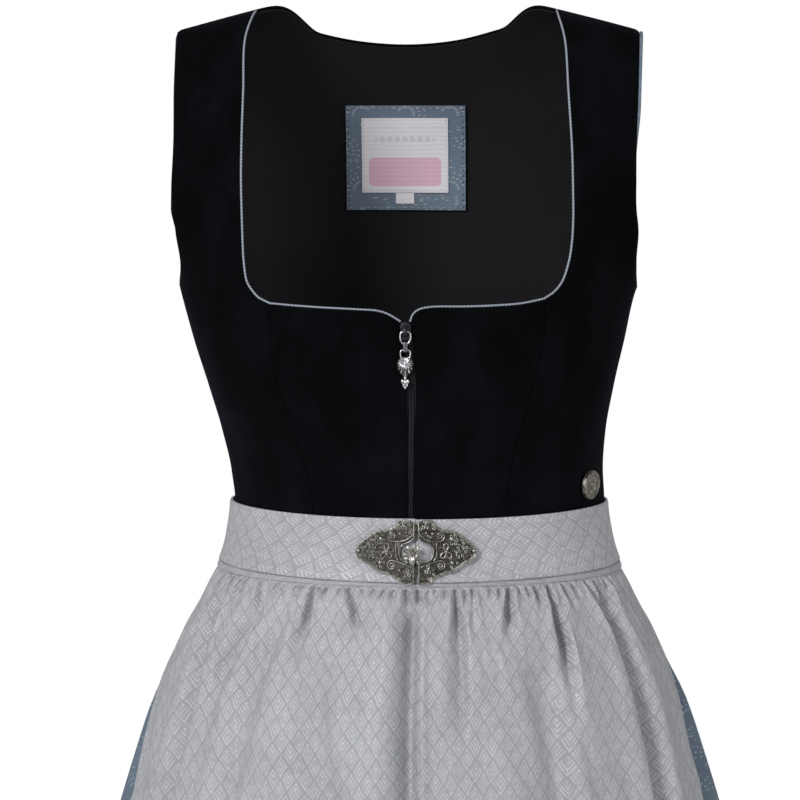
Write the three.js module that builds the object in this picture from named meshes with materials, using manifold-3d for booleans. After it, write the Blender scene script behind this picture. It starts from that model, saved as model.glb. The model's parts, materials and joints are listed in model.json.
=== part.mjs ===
// A sleeveless dirndl with its apron, worn and filled out, open and empty inside.
// Millimetres, +Z up, the front faces -Y, the origin midway between the shoulder seams.
import * as THREE from "three";
import { mergeVertices } from "three/addons/utils/BufferGeometryUtils.js";
import Module from "manifold-3d";

const wasm = await Module();
wasm.setup();
const { Manifold, CrossSection } = wasm;

// Cloth walls and gaps
const VELVET = 1.6;
const LINING = 1.0;
const TRIM = 1.0;
const APRON_CLOTH = 1.6;
const SKIRT_CLOTH = 1.6;
const SEAM = 0.3;

// Heights
const CHEST_Z = -125;
const LOW_Z = -362;
const WAIST_Z = -338;
const BAND_TOP_Z = -317;
const BAND_LOW_Z = -359.2;
const APRON_HEM_Z = -978;
const SKIRT_HEM_Z = -1008;

// Shoulders
const NECK_X = 97.5;
const SHOULDER_SLOPE = 0.271;
const SHOULDER_ROUND = 30;

// The waistband and the join of its ends
const BAND_INSIDE = 0.7;
const BAND_OUTSIDE = 2.7;
const JOIN_X = 8.6;
const JOIN_STEP = 0.5;
const BAND_LIFT = 2.0;

// Sections of the body form at heights, front and back depths
const BODY = [
  { z: -362, width: 129.6, front: 95.2, back: 91.0, centre: 7.5, power: 1.0 },
  { z: -338, width: 122.8, front: 90.4, back: 86.0, centre: 7.5, power: 1.0 },
  { z: -316, width: 120.0, front: 89.6, back: 83.5, centre: 7.3, power: 1.0 },
  { z: -296, width: 120.5, front: 94.0, back: 84.5, centre: 5.9, power: 0.97 },
  { z: -268, width: 124.3, front: 104.0, back: 88.0, centre: 3.8, power: 0.92 },
  { z: -239, width: 131.0, front: 114.0, back: 92.5, centre: 2.6, power: 0.87 },
  { z: -211, width: 138.7, front: 114.0, back: 97.0, centre: 1.3, power: 0.85 },
  { z: -182, width: 145.9, front: 108.5, back: 100.5, centre: 0, power: 0.85 },
  { z: -160, width: 153.0, front: 102.5, back: 102.0, centre: 1.6, power: 0.85 },
  { z: -140, width: 161.0, front: 97.0, back: 102.0, centre: 1.6, power: 0.85 },
  { z: -125, width: 164.0, front: 93.5, back: 101.5, centre: 0, power: 0.85 },
  { z: -118, width: 164.0, front: 92.0, back: 101.0, centre: 0, power: 0.85 },
];
const BUST = { x: 72, z: -234, push: 7.5, acrossX: 50, acrossZ: 52 };

// Sections of the outer form of the skirt and the apron
const LOWER = [
  { z: -1008, width: 321, front: 272, back: 283 },
  { z: -900, width: 295, front: 248, back: 258 },
  { z: -750, width: 257, front: 212, back: 222 },
  { z: -600, width: 218, front: 173, back: 182 },
  { z: -512, width: 194, front: 148, back: 155 },
  { z: -484, width: 185.6, front: 140, back: 147 },
  { z: -455, width: 176.4, front: 131.5, back: 138 },
  { z: -426, width: 165.6, front: 122, back: 128 },
  { z: -397, width: 151.8, front: 111.5, back: 116 },
  { z: -383, width: 143.8, front: 106.5, back: 109 },
  { z: -368, width: 136.2, front: 101, back: 97.5 },
];
const LOWER_CENTRE = 7.5;

// How far the skirt lies inside the outer form beneath the apron
const UNDER = [
  { z: -1008, gap: 7 },
  { z: -600, gap: 7 },
  { z: -430, gap: 5 },
  { z: -372, gap: 3.2 },
  { z: -338, gap: 3.0 },
];

// Side edges of the apron, degrees from the front
const APRON_EDGE = [
  { z: -978, left: -70.5, right: 68 },
  { z: -512, left: -74, right: 73 },
  { z: -483, left: -75, right: 74.3 },
  { z: -460, left: -78.2, right: 76.8 },
  { z: -440, left: -81.6, right: 80.6 },
  { z: -420, left: -83.6, right: 84 },
  { z: -392, left: -85, right: 86 },
  { z: -359, left: -86, right: 87 },
];

// Folds of the apron: degrees at three heights and at the hem, heights where each begins and ends,
// depth inward on its body and at the hem, half width in degrees
const APRON_FOLDS = [
  { top: -71.5, mid: -69, low: -68, hem: -66, from: -362, to: -430, depth: 3.6, end: 0, half: 2.4 },
  { top: -65.2, mid: -58, low: -57, hem: -55, from: -362, to: -978, depth: 4.6, end: 9, half: 3.0 },
  { top: -45, mid: -50, low: -50, hem: -47, from: -364, to: -470, depth: 3.6, end: 0, half: 3.2 },
  { top: -36.4, mid: -38.4, low: -39, hem: -36, from: -376, to: -978, depth: 2.6, end: 8, half: 3.6 },
  { top: -29.4, mid: -28.6, low: -28, hem: -28, from: -361, to: -418, depth: 3.2, end: 0, half: 2.0 },
  { top: -24, mid: -22.6, low: -16.6, hem: -16, from: -400, to: -978, depth: 3.6, end: 9, half: 4.6 },
  { top: -16.8, mid: -13.6, low: -13, hem: -13, from: -361, to: -396, depth: 3.0, end: 0, half: 1.8 },
  { top: -1.0, mid: -1.4, low: -1.2, hem: 2, from: -360, to: -978, depth: 4.4, end: 10, half: 2.7 },
  { top: 11.5, mid: 10.2, low: 10.0, hem: 11, from: -361, to: -470, depth: 3.6, end: 0, half: 2.0 },
  { top: 25.9, mid: 24, low: 22, hem: 21, from: -361, to: -392, depth: 3.2, end: 0, half: 1.7 },
  { top: 31.5, mid: 30.2, low: 28.4, hem: 24, from: -398, to: -978, depth: 4.0, end: 10, half: 4.6 },
  { top: 40.6, mid: 36.6, low: 36, hem: 35, from: -366, to: -450, depth: 3.8, end: 0, half: 1.9 },
  { top: 60.1, mid: 58.4, low: 55.8, hem: 50, from: -360, to: -978, depth: 8.2, end: 13, half: 3.0 },
];
const APRON_LEVELS = { top: -364, mid: -430, low: -500 };
const PUCKERS = { count: 31, height: 1.8, fade: 24 };
const HEM_WAVES = { count: 9, height: 7.5 };

// Folds of the skirt at the sides and the back
const SKIRT_FOLDS = { count: 21 };
const SKIRT_SWING = [
  { z: -1008, swing: 17 },
  { z: -700, swing: 13 },
  { z: -430, swing: 5.5 },
  { z: -372, swing: 2.4 },
  { z: -352, swing: 0 },
  { z: -338, swing: 0 },
];

// Neckline of the front, from each shoulder to the zip
const NECK_LEFT = [
  { x: -98.6, z: 0 },
  { x: -103, z: -18 },
  { x: -102.6, z: -50 },
  { x: -102.8, z: -80 },
  { x: -102.7, z: -105 },
  { x: -101.8, z: -131 },
  { x: -101.3, z: -144.4 },
  { x: -100.5, z: -157 },
  { x: -98.2, z: -169.6 },
  { x: -93.9, z: -175.9 },
  { x: -90, z: -179.5 },
  { x: -82.6, z: -182.8 },
];
const NECK_RIGHT = [
  { x: 96.4, z: 0 },
  { x: 101.4, z: -18 },
  { x: 103.7, z: -50 },
  { x: 106.2, z: -88 },
  { x: 106.8, z: -110 },
  { x: 107, z: -130 },
  { x: 106.2, z: -145 },
  { x: 104.3, z: -157 },
  { x: 100.1, z: -169.3 },
  { x: 94.9, z: -175.6 },
  { x: 88.6, z: -179.7 },
];
const TOP_LEFT = [
  { x: -82.6, z: -182.8 },
  { x: -69, z: -183.6 },
  { x: -48, z: -184.6 },
  { x: -26, z: -185.5 },
  { x: -15, z: -186.2 },
  { x: -8.5, z: -188.1 },
  { x: -4.3, z: -190.4 },
  { x: -0.8, z: -192.6 },
];
const TOP_RIGHT = [
  { x: 88.6, z: -179.7 },
  { x: 75, z: -182.1 },
  { x: 61, z: -183 },
  { x: 40, z: -183.6 },
  { x: 18, z: -183.9 },
  { x: 11, z: -185.5 },
  { x: 8, z: -188.2 },
  { x: 6.6, z: -192 },
];

// Levels shared by the pieces of the front, the band and the zip
const FRONT_LEVELS = [-338, -327, -316, -300, -280, -258, -236, -212, -194];

// Seams between the centre and the side of each front
const PRINCESS_LEFT = [
  { x: -82.6, z: -182.8 },
  { x: -82, z: -206 },
  { x: -77.5, z: -232 },
  { x: -70.5, z: -250 },
  { x: -62, z: -280 },
  { x: -57.5, z: -308 },
  { x: -56.5, z: -338 },
];
const PRINCESS_RIGHT = [
  { x: 88.6, z: -179.7 },
  { x: 88.6, z: -198 },
  { x: 85, z: -222 },
  { x: 77.5, z: -247 },
  { x: 69.5, z: -280 },
  { x: 65.5, z: -310 },
  { x: 65.5, z: -338 },
];

// Armholes, degrees from the front
const ARM_FRONT = [
  { angle: 90, z: -177 },
  { angle: 83.5, z: -174.6 },
  { angle: 75, z: -166 },
  { angle: 67.8, z: -150 },
  { angle: 63.6, z: -130 },
  { angle: 63.2, z: -105 },
  { angle: 63.4, z: -70 },
  { angle: 64.0, z: -40 },
  { angle: 64.6, z: -13.6 },
];
const ARM_BACK = [
  { angle: 90, z: -177 },
  { angle: 96.5, z: -174.6 },
  { angle: 105, z: -166 },
  { angle: 112.2, z: -150 },
  { angle: 116.4, z: -130 },
  { angle: 116.8, z: -100 },
  { angle: 116.6, z: -70 },
  { angle: 116.0, z: -40 },
  { angle: 115.4, z: -13.6 },
];

// Neckline of the back
const NECK_BACK = [
  { x: 97.5, z: 0 },
  { x: 88, z: 0.2 },
  { x: 74, z: -3.4 },
  { x: 54, z: -8.8 },
  { x: 30, z: -14.2 },
  { x: 0, z: -16.6 },
  { x: -30, z: -15 },
  { x: -54, z: -11.2 },
  { x: -74, z: -6.0 },
  { x: -88, z: -1.2 },
  { x: -97.5, z: 0 },
];

// The zip
const ZIP = { topZ: -192, tapeHalf: 6.5, chainHalf: 2.0, chainRise: 1.5 };

// Line of the zip and half its gap, which closes towards the waist
const ZIP_LINE = [
  { z: -338, x: 5.4, gap: 0.9 },
  { z: -316, x: 5.4, gap: 1.0 },
  { z: -300, x: 5.5, gap: 1.3 },
  { z: -271, x: 5.9, gap: 1.8 },
  { z: -236, x: 6.8, gap: 2.5 },
  { z: -212, x: 5.2, gap: 2.7 },
  { z: -192, x: 3.1, gap: 2.7 },
];

// The square patch, the label and the tab inside the back
const PATCH = { left: -45.2, right: 35.8, top: -60.3, low: -132 };
const LABEL = { left: -34.8, right: 24.2, top: -68.5, low: -120 };
const TAB = { left: -11.7, right: 0.7, top: -120.4, low: -127.6 };

// Half of the clasp: its outline from the slit, then the open oval
const CLASP_OUTLINE = [
  { u: 0.5, w: 18.4 },
  { u: 3, w: 19.6 },
  { u: 7, w: 20.1 },
  { u: 10.4, w: 19.5 },
  { u: 11.2, w: 17.2 },
  { u: 14.4, w: 15.2 },
  { u: 18.4, w: 13.8 },
  { u: 22.6, w: 13.4 },
  { u: 27, w: 11.4 },
  { u: 31.8, w: 7.6 },
  { u: 36, w: 4.0 },
  { u: 37.6, w: 0.4 },
  { u: 36.9, w: -2.8 },
  { u: 34.4, w: -5.2 },
  { u: 30, w: -7.6 },
  { u: 25.4, w: -11.2 },
  { u: 21.8, w: -13 },
  { u: 17.8, w: -13.6 },
  { u: 14.2, w: -15.4 },
  { u: 10.2, w: -17.8 },
  { u: 8.8, w: -19.7 },
  { u: 4.6, w: -20.5 },
  { u: 0.5, w: -19.6 },
  { u: 0.5, w: -6.4 },
  { u: 3.4, w: -6.0 },
  { u: 6.6, w: -5.2 },
  { u: 8.8, w: -3.4 },
  { u: 9.7, w: -0.4 },
  { u: 9.2, w: 2.6 },
  { u: 7.2, w: 4.6 },
  { u: 4.2, w: 5.8 },
  { u: 1.8, w: 7.4 },
  { u: 0.5, w: 9.0 },
];
const CLASP = { x: 8.8, z: -337.3, thick: 1.6, rim: 0.7, inset: 1.4, reach: 19, lift: 1.5, seamZ: -353 };

const BADGE = { x: 116.1, z: -300.6, radius: 9.3, thick: 1.4, dome: 1.6 };

const COLOURS = {
  velvet: 0x0b0c11,
  lining: 0x19181b,
  skirt: 0x71808f,
  apron: 0xaaadb4,
  band: 0xafb1b8,
  piping: 0x9aa4b4,
  binding: 0x71808f,
  label: 0xdfdce1,
  zip: 0x17181d,
  slider: 0x2c2d36,
  silver: 0xb9bbbf,
  antique: 0x83817f,
};

const group = new THREE.Group();
const RAD = Math.PI / 180;

const lerp = (a, b, t) => a + (b - a) * t;

function smoothstep(a, b, x) {
  const t = Math.min(1, Math.max(0, (x - a) / (b - a)));
  return t * t * (3 - 2 * t);
}

// A smooth column of a table against its height, with no overshoot
function column(rows, key, along = "z") {
  const xs = rows.map((r) => r[along]);
  const ys = rows.map((r) => r[key]);
  const n = xs.length;
  const d = [];
  for (let i = 0; i < n - 1; i++) d.push((ys[i + 1] - ys[i]) / (xs[i + 1] - xs[i]));
  const m = [d[0]];
  for (let i = 1; i < n - 1; i++) {
    const product = d[i - 1] * d[i];
    m.push(product <= 0 ? 0 : (2 * product) / (d[i - 1] + d[i]));
  }
  m.push(d[n - 2]);
  return (x) => {
    if (x <= xs[0]) return ys[0] + m[0] * (x - xs[0]);
    if (x >= xs[n - 1]) return ys[n - 1];
    let i = 0;
    while (x > xs[i + 1]) i++;
    const h = xs[i + 1] - xs[i];
    const t = (x - xs[i]) / h;
    const a = ys[i] * (1 + 2 * t) * (1 - t) ** 2 + ys[i + 1] * t * t * (3 - 2 * t);
    return a + h * (m[i] * t * (1 - t) ** 2 - m[i + 1] * t * t * (1 - t));
  };
}

const bodyWidth = column(BODY, "width");
const bodyFront = column(BODY, "front");
const bodyBack = column(BODY, "back");
const bodyCentre = column(BODY, "centre");
const bodyPower = column(BODY, "power");

function shoulderZ(x) {
  const level = Math.hypot(NECK_X, SHOULDER_ROUND);
  return SHOULDER_SLOPE * (level - Math.hypot(x, SHOULDER_ROUND));
}

function sectionY(angle, z) {
  const c = Math.cos(angle);
  const depth = c > 0 ? bodyFront(z) : bodyBack(z);
  return -Math.sign(c) * depth * Math.abs(c) ** bodyPower(z);
}

// A point of the body form: up to 1 it is a level section, from 1 to 2 it bends over to the shoulder
function form(angle, v) {
  if (v <= 1) {
    const z = lerp(LOW_Z, CHEST_Z, v);
    const x = bodyWidth(z) * Math.sin(angle);
    let y = sectionY(angle, z);
    if (Math.cos(angle) > 0) {
      const across = (Math.abs(x) - BUST.x) / BUST.acrossX;
      const up = (z - BUST.z) / BUST.acrossZ;
      y -= BUST.push * Math.exp(-across * across - up * up);
    }
    return [x + bodyCentre(z), y, z];
  }
  const u = Math.min(v, 2) - 1;
  const x = bodyWidth(CHEST_Z) * Math.sin(angle);
  const top = shoulderZ(x);
  const rise = top - CHEST_Z;
  const start = sectionY(angle, CHEST_Z);
  const slope = (sectionY(angle, CHEST_Z) - sectionY(angle, CHEST_Z - 6)) / 6;
  const ys = [start, start + 0.5 * rise * slope, 0.5 * start, 0];
  const zs = [CHEST_Z, CHEST_Z + 0.5 * rise, top, top];
  const k = [(1 - u) ** 3, 3 * u * (1 - u) ** 2, 3 * u * u * (1 - u), u ** 3];
  const at = (p) => p.reduce((sum, q, i) => sum + q * k[i], 0);
  return [x, at(ys), at(zs)];
}

const sub = (a, b) => [a[0] - b[0], a[1] - b[1], a[2] - b[2]];
const add = (a, b, s = 1) => [a[0] + b[0] * s, a[1] + b[1] * s, a[2] + b[2] * s];
const cross = (a, b) => [a[1] * b[2] - a[2] * b[1], a[2] * b[0] - a[0] * b[2], a[0] * b[1] - a[1] * b[0]];

function unit(a) {
  const l = Math.hypot(...a);
  return [a[0] / l, a[1] / l, a[2] / l];
}

function formNormal(angle, v) {
  const e = 2e-3;
  const vv = Math.min(v, 2 - e);
  const across = sub(form(angle + e, vv), form(angle - e, vv));
  const up = sub(form(angle, vv + e), form(angle, vv - e));
  return unit(cross(across, up));
}

const body = (angle, v, out = 0) => add(form(angle, v), formNormal(angle, v), out);

// The form's second number at a height
function upAt(angle, z) {
  if (z <= CHEST_Z) return (z - LOW_Z) / (CHEST_Z - LOW_Z);
  let low = 1;
  let high = 2;
  for (let i = 0; i < 40; i++) {
    const mid = (low + high) / 2;
    if (form(angle, mid)[2] < z) low = mid;
    else high = mid;
  }
  return (low + high) / 2;
}

function frontAt(x, z) {
  const wide = z <= CHEST_Z ? bodyWidth(z) : bodyWidth(CHEST_Z);
  const angle = Math.asin(Math.max(-1, Math.min(1, (x - bodyCentre(z)) / wide)));
  return [angle, upAt(angle, z)];
}

function backAt(x, z) {
  const wide = z <= CHEST_Z ? bodyWidth(z) : bodyWidth(CHEST_Z);
  const angle = Math.PI - Math.asin((x - bodyCentre(z)) / wide);
  return [angle, upAt(angle, z)];
}

// Steps along a smooth line through table rows, closer at its start where the power is over one
function steps(points, n, power = 1) {
  const line = new THREE.CatmullRomCurve3(
    points.map((p) => new THREE.Vector3(p[0], p[1], 0)),
    false,
    "centripetal",
  );
  line.arcLengthDivisions = 400;
  const out = [];
  for (let i = 0; i <= n; i++) {
    const q = line.getPointAt((i / n) ** power);
    out.push([q.x, q.y]);
  }
  return out;
}

const places = (rows) => rows.map((r) => [r.x, r.z]);
const frontLine = (rows, n, power = 1) => steps(places(rows), n, power).map(([x, z]) => frontAt(x, z));
const backLine = (rows, n) => steps(places(rows), n).map(([x, z]) => backAt(x, z));

function armLine(rows, n, side) {
  return steps(rows.map((r) => [r.angle * ARM_SCALE, r.z]), n, ARM_POWER).map(([a, z]) => {
    const angle = side * (a / ARM_SCALE) * RAD;
    return [angle, upAt(angle, z)];
  });
}

// A seam's places at the shared levels, then at its top
function seamLine(rows) {
  const x = column([...rows].reverse(), "x");
  return [...FRONT_LEVELS, rows[0].z].map((z) => frontAt(x(z), z));
}

function addMesh(name, geometry, colour) {
  const material = new THREE.MeshStandardMaterial({ color: colour });
  material.name = name + "_material";
  const mesh = new THREE.Mesh(geometry, material);
  mesh.name = name;
  group.add(mesh);
}

function volumeOf(points, faces) {
  let total = 0;
  for (const [a, b, c] of faces) {
    const n = cross(points[b], points[c]);
    total += points[a][0] * n[0] + points[a][1] * n[1] + points[a][2] * n[2];
  }
  return total;
}

function geometryOf(points, faces) {
  const turned = volumeOf(points, faces) < 0 ? faces.map(([a, b, c]) => [a, c, b]) : faces;
  const geometry = new THREE.BufferGeometry();
  geometry.setAttribute("position", new THREE.Float32BufferAttribute(points.flat(), 3));
  geometry.setIndex(turned.flat());
  geometry.computeVertexNormals();
  return geometry;
}

// A wall between two grids of points, closed round its rim
function wall(nu, nv, outer, inner) {
  const points = [];
  const faces = [];
  for (const side of [outer, inner]) {
    for (let j = 0; j <= nv; j++) {
      for (let i = 0; i <= nu; i++) points.push(side(i, j));
    }
  }
  const layer = (nu + 1) * (nv + 1);
  const id = (k, i, j) => k * layer + j * (nu + 1) + i;
  const quad = (a, b, c, d) => faces.push([a, b, c], [a, c, d]);
  for (let j = 0; j < nv; j++) {
    for (let i = 0; i < nu; i++) {
      quad(id(0, i, j), id(0, i + 1, j), id(0, i + 1, j + 1), id(0, i, j + 1));
      quad(id(1, i, j), id(1, i, j + 1), id(1, i + 1, j + 1), id(1, i + 1, j));
    }
  }
  for (let i = 0; i < nu; i++) {
    quad(id(0, i, 0), id(1, i, 0), id(1, i + 1, 0), id(0, i + 1, 0));
    quad(id(0, i, nv), id(0, i + 1, nv), id(1, i + 1, nv), id(1, i, nv));
  }
  for (let j = 0; j < nv; j++) {
    quad(id(0, 0, j), id(0, 0, j + 1), id(1, 0, j + 1), id(1, 0, j));
    quad(id(0, nu, j), id(1, nu, j), id(1, nu, j + 1), id(0, nu, j + 1));
  }
  return geometryOf(points, faces);
}

// A cord along a line, with flat ends or closed on itself
function cord(line, radius, sides, closed = false) {
  const n = line.length;
  const points = [];
  const faces = [];
  let side = null;
  for (let i = 0; i < n; i++) {
    const before = closed ? line[(i + n - 1) % n] : line[Math.max(0, i - 1)];
    const after = closed ? line[(i + 1) % n] : line[Math.min(n - 1, i + 1)];
    const along = unit(sub(after, before));
    if (!side) side = unit(cross(along, Math.abs(along[2]) < 0.8 ? [0, 0, 1] : [0, 1, 0]));
    const spare = along[0] * side[0] + along[1] * side[1] + along[2] * side[2];
    side = unit(add(side, along, -spare));
    const other = cross(along, side);
    for (let k = 0; k < sides; k++) {
      const a = (2 * Math.PI * k) / sides;
      points.push(add(add(line[i], side, radius * Math.cos(a)), other, radius * Math.sin(a)));
    }
  }
  const rings = closed ? n : n - 1;
  let shift = 0;
  if (closed) {
    let best = Infinity;
    for (let s = 0; s < sides; s++) {
      const gap = Math.hypot(...sub(points[(n - 1) * sides], points[s]));
      if (gap < best) {
        best = gap;
        shift = s;
      }
    }
  }
  for (let i = 0; i < rings; i++) {
    const turn = closed && i === n - 1 ? shift : 0;
    for (let k = 0; k < sides; k++) {
      const next = (k + 1) % sides;
      const a = i * sides + k;
      const b = i * sides + next;
      const c = ((i + 1) % n) * sides + ((next + turn) % sides);
      const d = ((i + 1) % n) * sides + ((k + turn) % sides);
      faces.push([a, b, c], [a, c, d]);
    }
  }
  if (!closed) {
    for (let k = 1; k < sides - 1; k++) {
      faces.push([0, k + 1, k]);
      faces.push([(n - 1) * sides, (n - 1) * sides + k, (n - 1) * sides + k + 1]);
    }
  }
  return geometryOf(points, faces);
}

// The bodice
const SIDE_ROWS = FRONT_LEVELS.length;
const STRAP_ROWS = 12;
const CORNER_POWER = 1.45;
const NOTCH_POWER = 1.6;
const NOTCH_STEPS = 10;
const ARM_POWER = 1.3;
const ARM_SCALE = 1.6;
const BELOW_SHOULDER = 0.0015;
const MEAN_RADIUS = 130;
const gapAngle = SEAM / 2 / MEAN_RADIUS;

function frontSide(side) {
  const neck = side < 0 ? NECK_LEFT : NECK_RIGHT;
  const seam = side < 0 ? PRINCESS_LEFT : PRINCESS_RIGHT;
  const low = seamLine(seam);
  const high = frontLine([...neck].reverse(), STRAP_ROWS, CORNER_POWER);
  const inner = [...low, ...high.slice(1)];
  const flank = [];
  for (const z of [...FRONT_LEVELS, ARM_FRONT[0].z]) {
    flank.push([side * 90 * RAD, upAt(side * 90 * RAD, z)]);
  }
  const outer = [...flank, ...armLine(ARM_FRONT, STRAP_ROWS, side).slice(1)];
  const nu = 6;
  const nv = SIDE_ROWS + STRAP_ROWS;
  const at = (i, j) => {
    const s = i / nu;
    const trim = j <= SIDE_ROWS ? gapAngle : 0;
    const a = lerp(inner[j][0] + side * trim, outer[j][0] - side * trim, s);
    let v = lerp(inner[j][1], outer[j][1], s);
    if (j === nv) v = 2 - BELOW_SHOULDER;
    return [a, v];
  };
  return wall(
    nu,
    nv,
    (i, j) => body(...at(i, j), 0),
    (i, j) => body(...at(i, j), -VELVET),
  );
}

const zipX = column(ZIP_LINE, "x");
const zipGap = column(ZIP_LINE, "gap");

function frontCentre(side) {
  const seam = side < 0 ? PRINCESS_LEFT : PRINCESS_RIGHT;
  const top = side < 0 ? TOP_LEFT : TOP_RIGHT;
  const nu = NOTCH_STEPS;
  const nv = SIDE_ROWS;
  const outer = seamLine(seam);
  const upper = frontLine([...top].reverse(), nu, NOTCH_POWER).reverse();
  const end = top[top.length - 1];
  const inner = FRONT_LEVELS.map((z) => frontAt(zipX(z) + side * zipGap(z), z));
  inner.push(frontAt(end.x, end.z));
  const at = (i, j) => {
    const s = i / nu;
    const t = (outer[j][1] - outer[0][1]) / (outer[nv][1] - outer[0][1]);
    const corners = [outer[0], inner[0], outer[nv], inner[nv]];
    const mix = (k) => {
      const across = lerp(outer[j][k], inner[j][k], s);
      const rise = lerp(lerp(corners[0][k], corners[1][k], s), upper[i][k], t);
      const flat = lerp(lerp(corners[0][k], corners[1][k], s), lerp(corners[2][k], corners[3][k], s), t);
      return across + rise - flat;
    };
    return [mix(0) - side * gapAngle * (1 - s), mix(1)];
  };
  return wall(
    nu,
    nv,
    (i, j) => body(...at(i, j), 0),
    (i, j) => body(...at(i, j), -VELVET),
  );
}

// The back, from the left side seam across to the right one
const BACK_COLUMNS = 14;
const BACK_SHOULDER = 2;
const BACK_LEVELS = [-338, -327, -316, -296, -272, -244, -216, -194, -177];
const BACK_LOW = BACK_LEVELS.length - 1;
const BACK_HIGH = 10;

function backGrid() {
  const edge = (side) => {
    const line = BACK_LEVELS.map((z) => [90 * RAD, upAt(90 * RAD, z)]);
    for (const p of armLine(ARM_BACK, BACK_HIGH, 1).slice(1)) line.push(p);
    return line.map(([a, v]) => [side > 0 ? a : 2 * Math.PI - a, v]);
  };
  const right = edge(1);
  const left = edge(-1);
  const nv = BACK_LOW + BACK_HIGH;
  const neck = backLine(NECK_BACK, BACK_COLUMNS - 2 * BACK_SHOULDER);
  const top = [];
  const first = neck[0][0];
  const last = neck[neck.length - 1][0];
  for (let i = 0; i < BACK_SHOULDER; i++) {
    top.push([lerp(right[nv][0], first, i / BACK_SHOULDER), 2]);
  }
  top.push(...neck);
  for (let i = 1; i <= BACK_SHOULDER; i++) {
    top.push([lerp(last, left[nv][0], i / BACK_SHOULDER), 2]);
  }
  const low = [];
  for (let i = 0; i <= BACK_COLUMNS; i++) {
    low.push([lerp(right[0][0], left[0][0], i / BACK_COLUMNS), right[0][1]]);
  }
  const corner = [low[0], low[BACK_COLUMNS], top[0], top[BACK_COLUMNS]];
  const start = right[0][1];
  const high = 2 - start;
  return (i, j) => {
    const s = i / BACK_COLUMNS;
    const t = (right[j][1] - start) / high;
    return [0, 1].map((k) => {
      const across = lerp(right[j][k], left[j][k], s);
      const rise = lerp(low[i][k], top[i][k], t);
      const flat = lerp(lerp(corner[0][k], corner[1][k], s), lerp(corner[2][k], corner[3][k], s), t);
      return across + rise - flat;
    });
  };
}
const backPoint = backGrid();
const BACK_ROWS = BACK_LOW + BACK_HIGH;

// Trims a place of the back grid inward from the panel's edge
function backInset(i, j, byAngle, byUp) {
  const [a, v] = backPoint(i, j);
  const da = i === 0 ? byAngle : i === BACK_COLUMNS ? -byAngle : 0;
  const dv = j === 0 ? byUp : j === BACK_ROWS ? -byUp : 0;
  return [a + da, v + dv];
}

const LINING_FACE = VELVET + 0.5;
const LINING_INSET = { angle: 0.008, up: 0.006 };
const backEdge = (i, j) => backInset(i, j, gapAngle, j === 0 ? 0 : BELOW_SHOULDER);
const liningEdge = (i, j) => backInset(i, j, LINING_INSET.angle, LINING_INSET.up);
const back = wall(
  BACK_COLUMNS,
  BACK_ROWS,
  (i, j) => body(...backEdge(i, j), 0),
  (i, j) => body(...backEdge(i, j), -VELVET),
);
const lining = wall(
  BACK_COLUMNS,
  BACK_ROWS,
  (i, j) => body(...liningEdge(i, j), -LINING_FACE),
  (i, j) => body(...liningEdge(i, j), -LINING_FACE - LINING),
);

addMesh("bodice_front_centre_left", frontCentre(-1), COLOURS.velvet);
addMesh("bodice_front_centre_right", frontCentre(1), COLOURS.velvet);
addMesh("bodice_front_side_left", frontSide(-1), COLOURS.velvet);
addMesh("bodice_front_side_right", frontSide(1), COLOURS.velvet);
addMesh("bodice_back", back, COLOURS.velvet);
addMesh("back_lining", lining, COLOURS.lining);

// Square pieces laid on the inside of the back
function inside(place, nu, nv, near, far) {
  const at = (i, j) => backAt(lerp(place.left, place.right, i / nu), lerp(place.low, place.top, j / nv));
  return wall(
    nu,
    nv,
    (i, j) => body(...at(i, j), -near),
    (i, j) => body(...at(i, j), -far),
  );
}

// The patch clears the flat facets of the lining
const FACET_GAP = 1.9;
const patchBack = LINING_FACE + LINING + FACET_GAP;
const patchFace = patchBack + TRIM;
addMesh("label_patch", inside(PATCH, 6, 5, patchBack, patchFace), COLOURS.skirt);
addMesh("label", inside(LABEL, 4, 3, patchFace + SEAM, patchFace + SEAM + TRIM), COLOURS.label);
addMesh("size_tab", inside(TAB, 2, 1, patchFace + SEAM, patchFace + SEAM + TRIM), COLOURS.label);

const PIPING = { radius: 0.75, sides: 5 };
const BINDING = { radius: 1.15, sides: 6 };

// A line beside an edge of the form, moved off the cloth in its own surface
function beside(edge, away, depth, turn, closed = false) {
  const n = edge.length;
  const base = edge.map(([a, v]) => body(a, v, -depth));
  return base.map((p, i) => {
    const before = closed ? base[(i + n - 1) % n] : base[Math.max(0, i - 1)];
    const after = closed ? base[(i + 1) % n] : base[Math.min(n - 1, i + 1)];
    const off = unit(cross(sub(after, before), formNormal(...edge[i])));
    return add(p, off, turn * away);
  });
}

function neckPiping(side) {
  const neck = side < 0 ? NECK_LEFT : NECK_RIGHT;
  const top = side < 0 ? TOP_LEFT : TOP_RIGHT;
  const strap = frontLine([...neck].reverse(), STRAP_ROWS, CORNER_POWER).reverse();
  const low = frontLine([...top].reverse(), NOTCH_STEPS, NOTCH_POWER).reverse();
  const edge = [...strap, ...low.slice(1)];
  edge[0][1] = 2 - BELOW_SHOULDER;
  const line = beside(edge, PIPING.radius + SEAM + 0.1, VELVET / 2, side);
  return cord(line, PIPING.radius, PIPING.sides);
}
addMesh("neck_piping_left", neckPiping(-1), COLOURS.piping);
addMesh("neck_piping_right", neckPiping(1), COLOURS.piping);

function armBinding(side) {
  const front = armLine(ARM_FRONT, STRAP_ROWS, side);
  const rear = armLine(ARM_BACK, BACK_HIGH, side);
  const edge = [...front.slice(0, STRAP_ROWS), ...rear.slice(1).reverse()];
  const ringLine = beside(edge, BINDING.radius + SEAM + 0.15, VELVET / 2, side, true);
  return cord(ringLine, BINDING.radius, BINDING.sides, true);
}
addMesh("armhole_binding_left", armBinding(-1), COLOURS.binding);
addMesh("armhole_binding_right", armBinding(1), COLOURS.binding);

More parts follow.
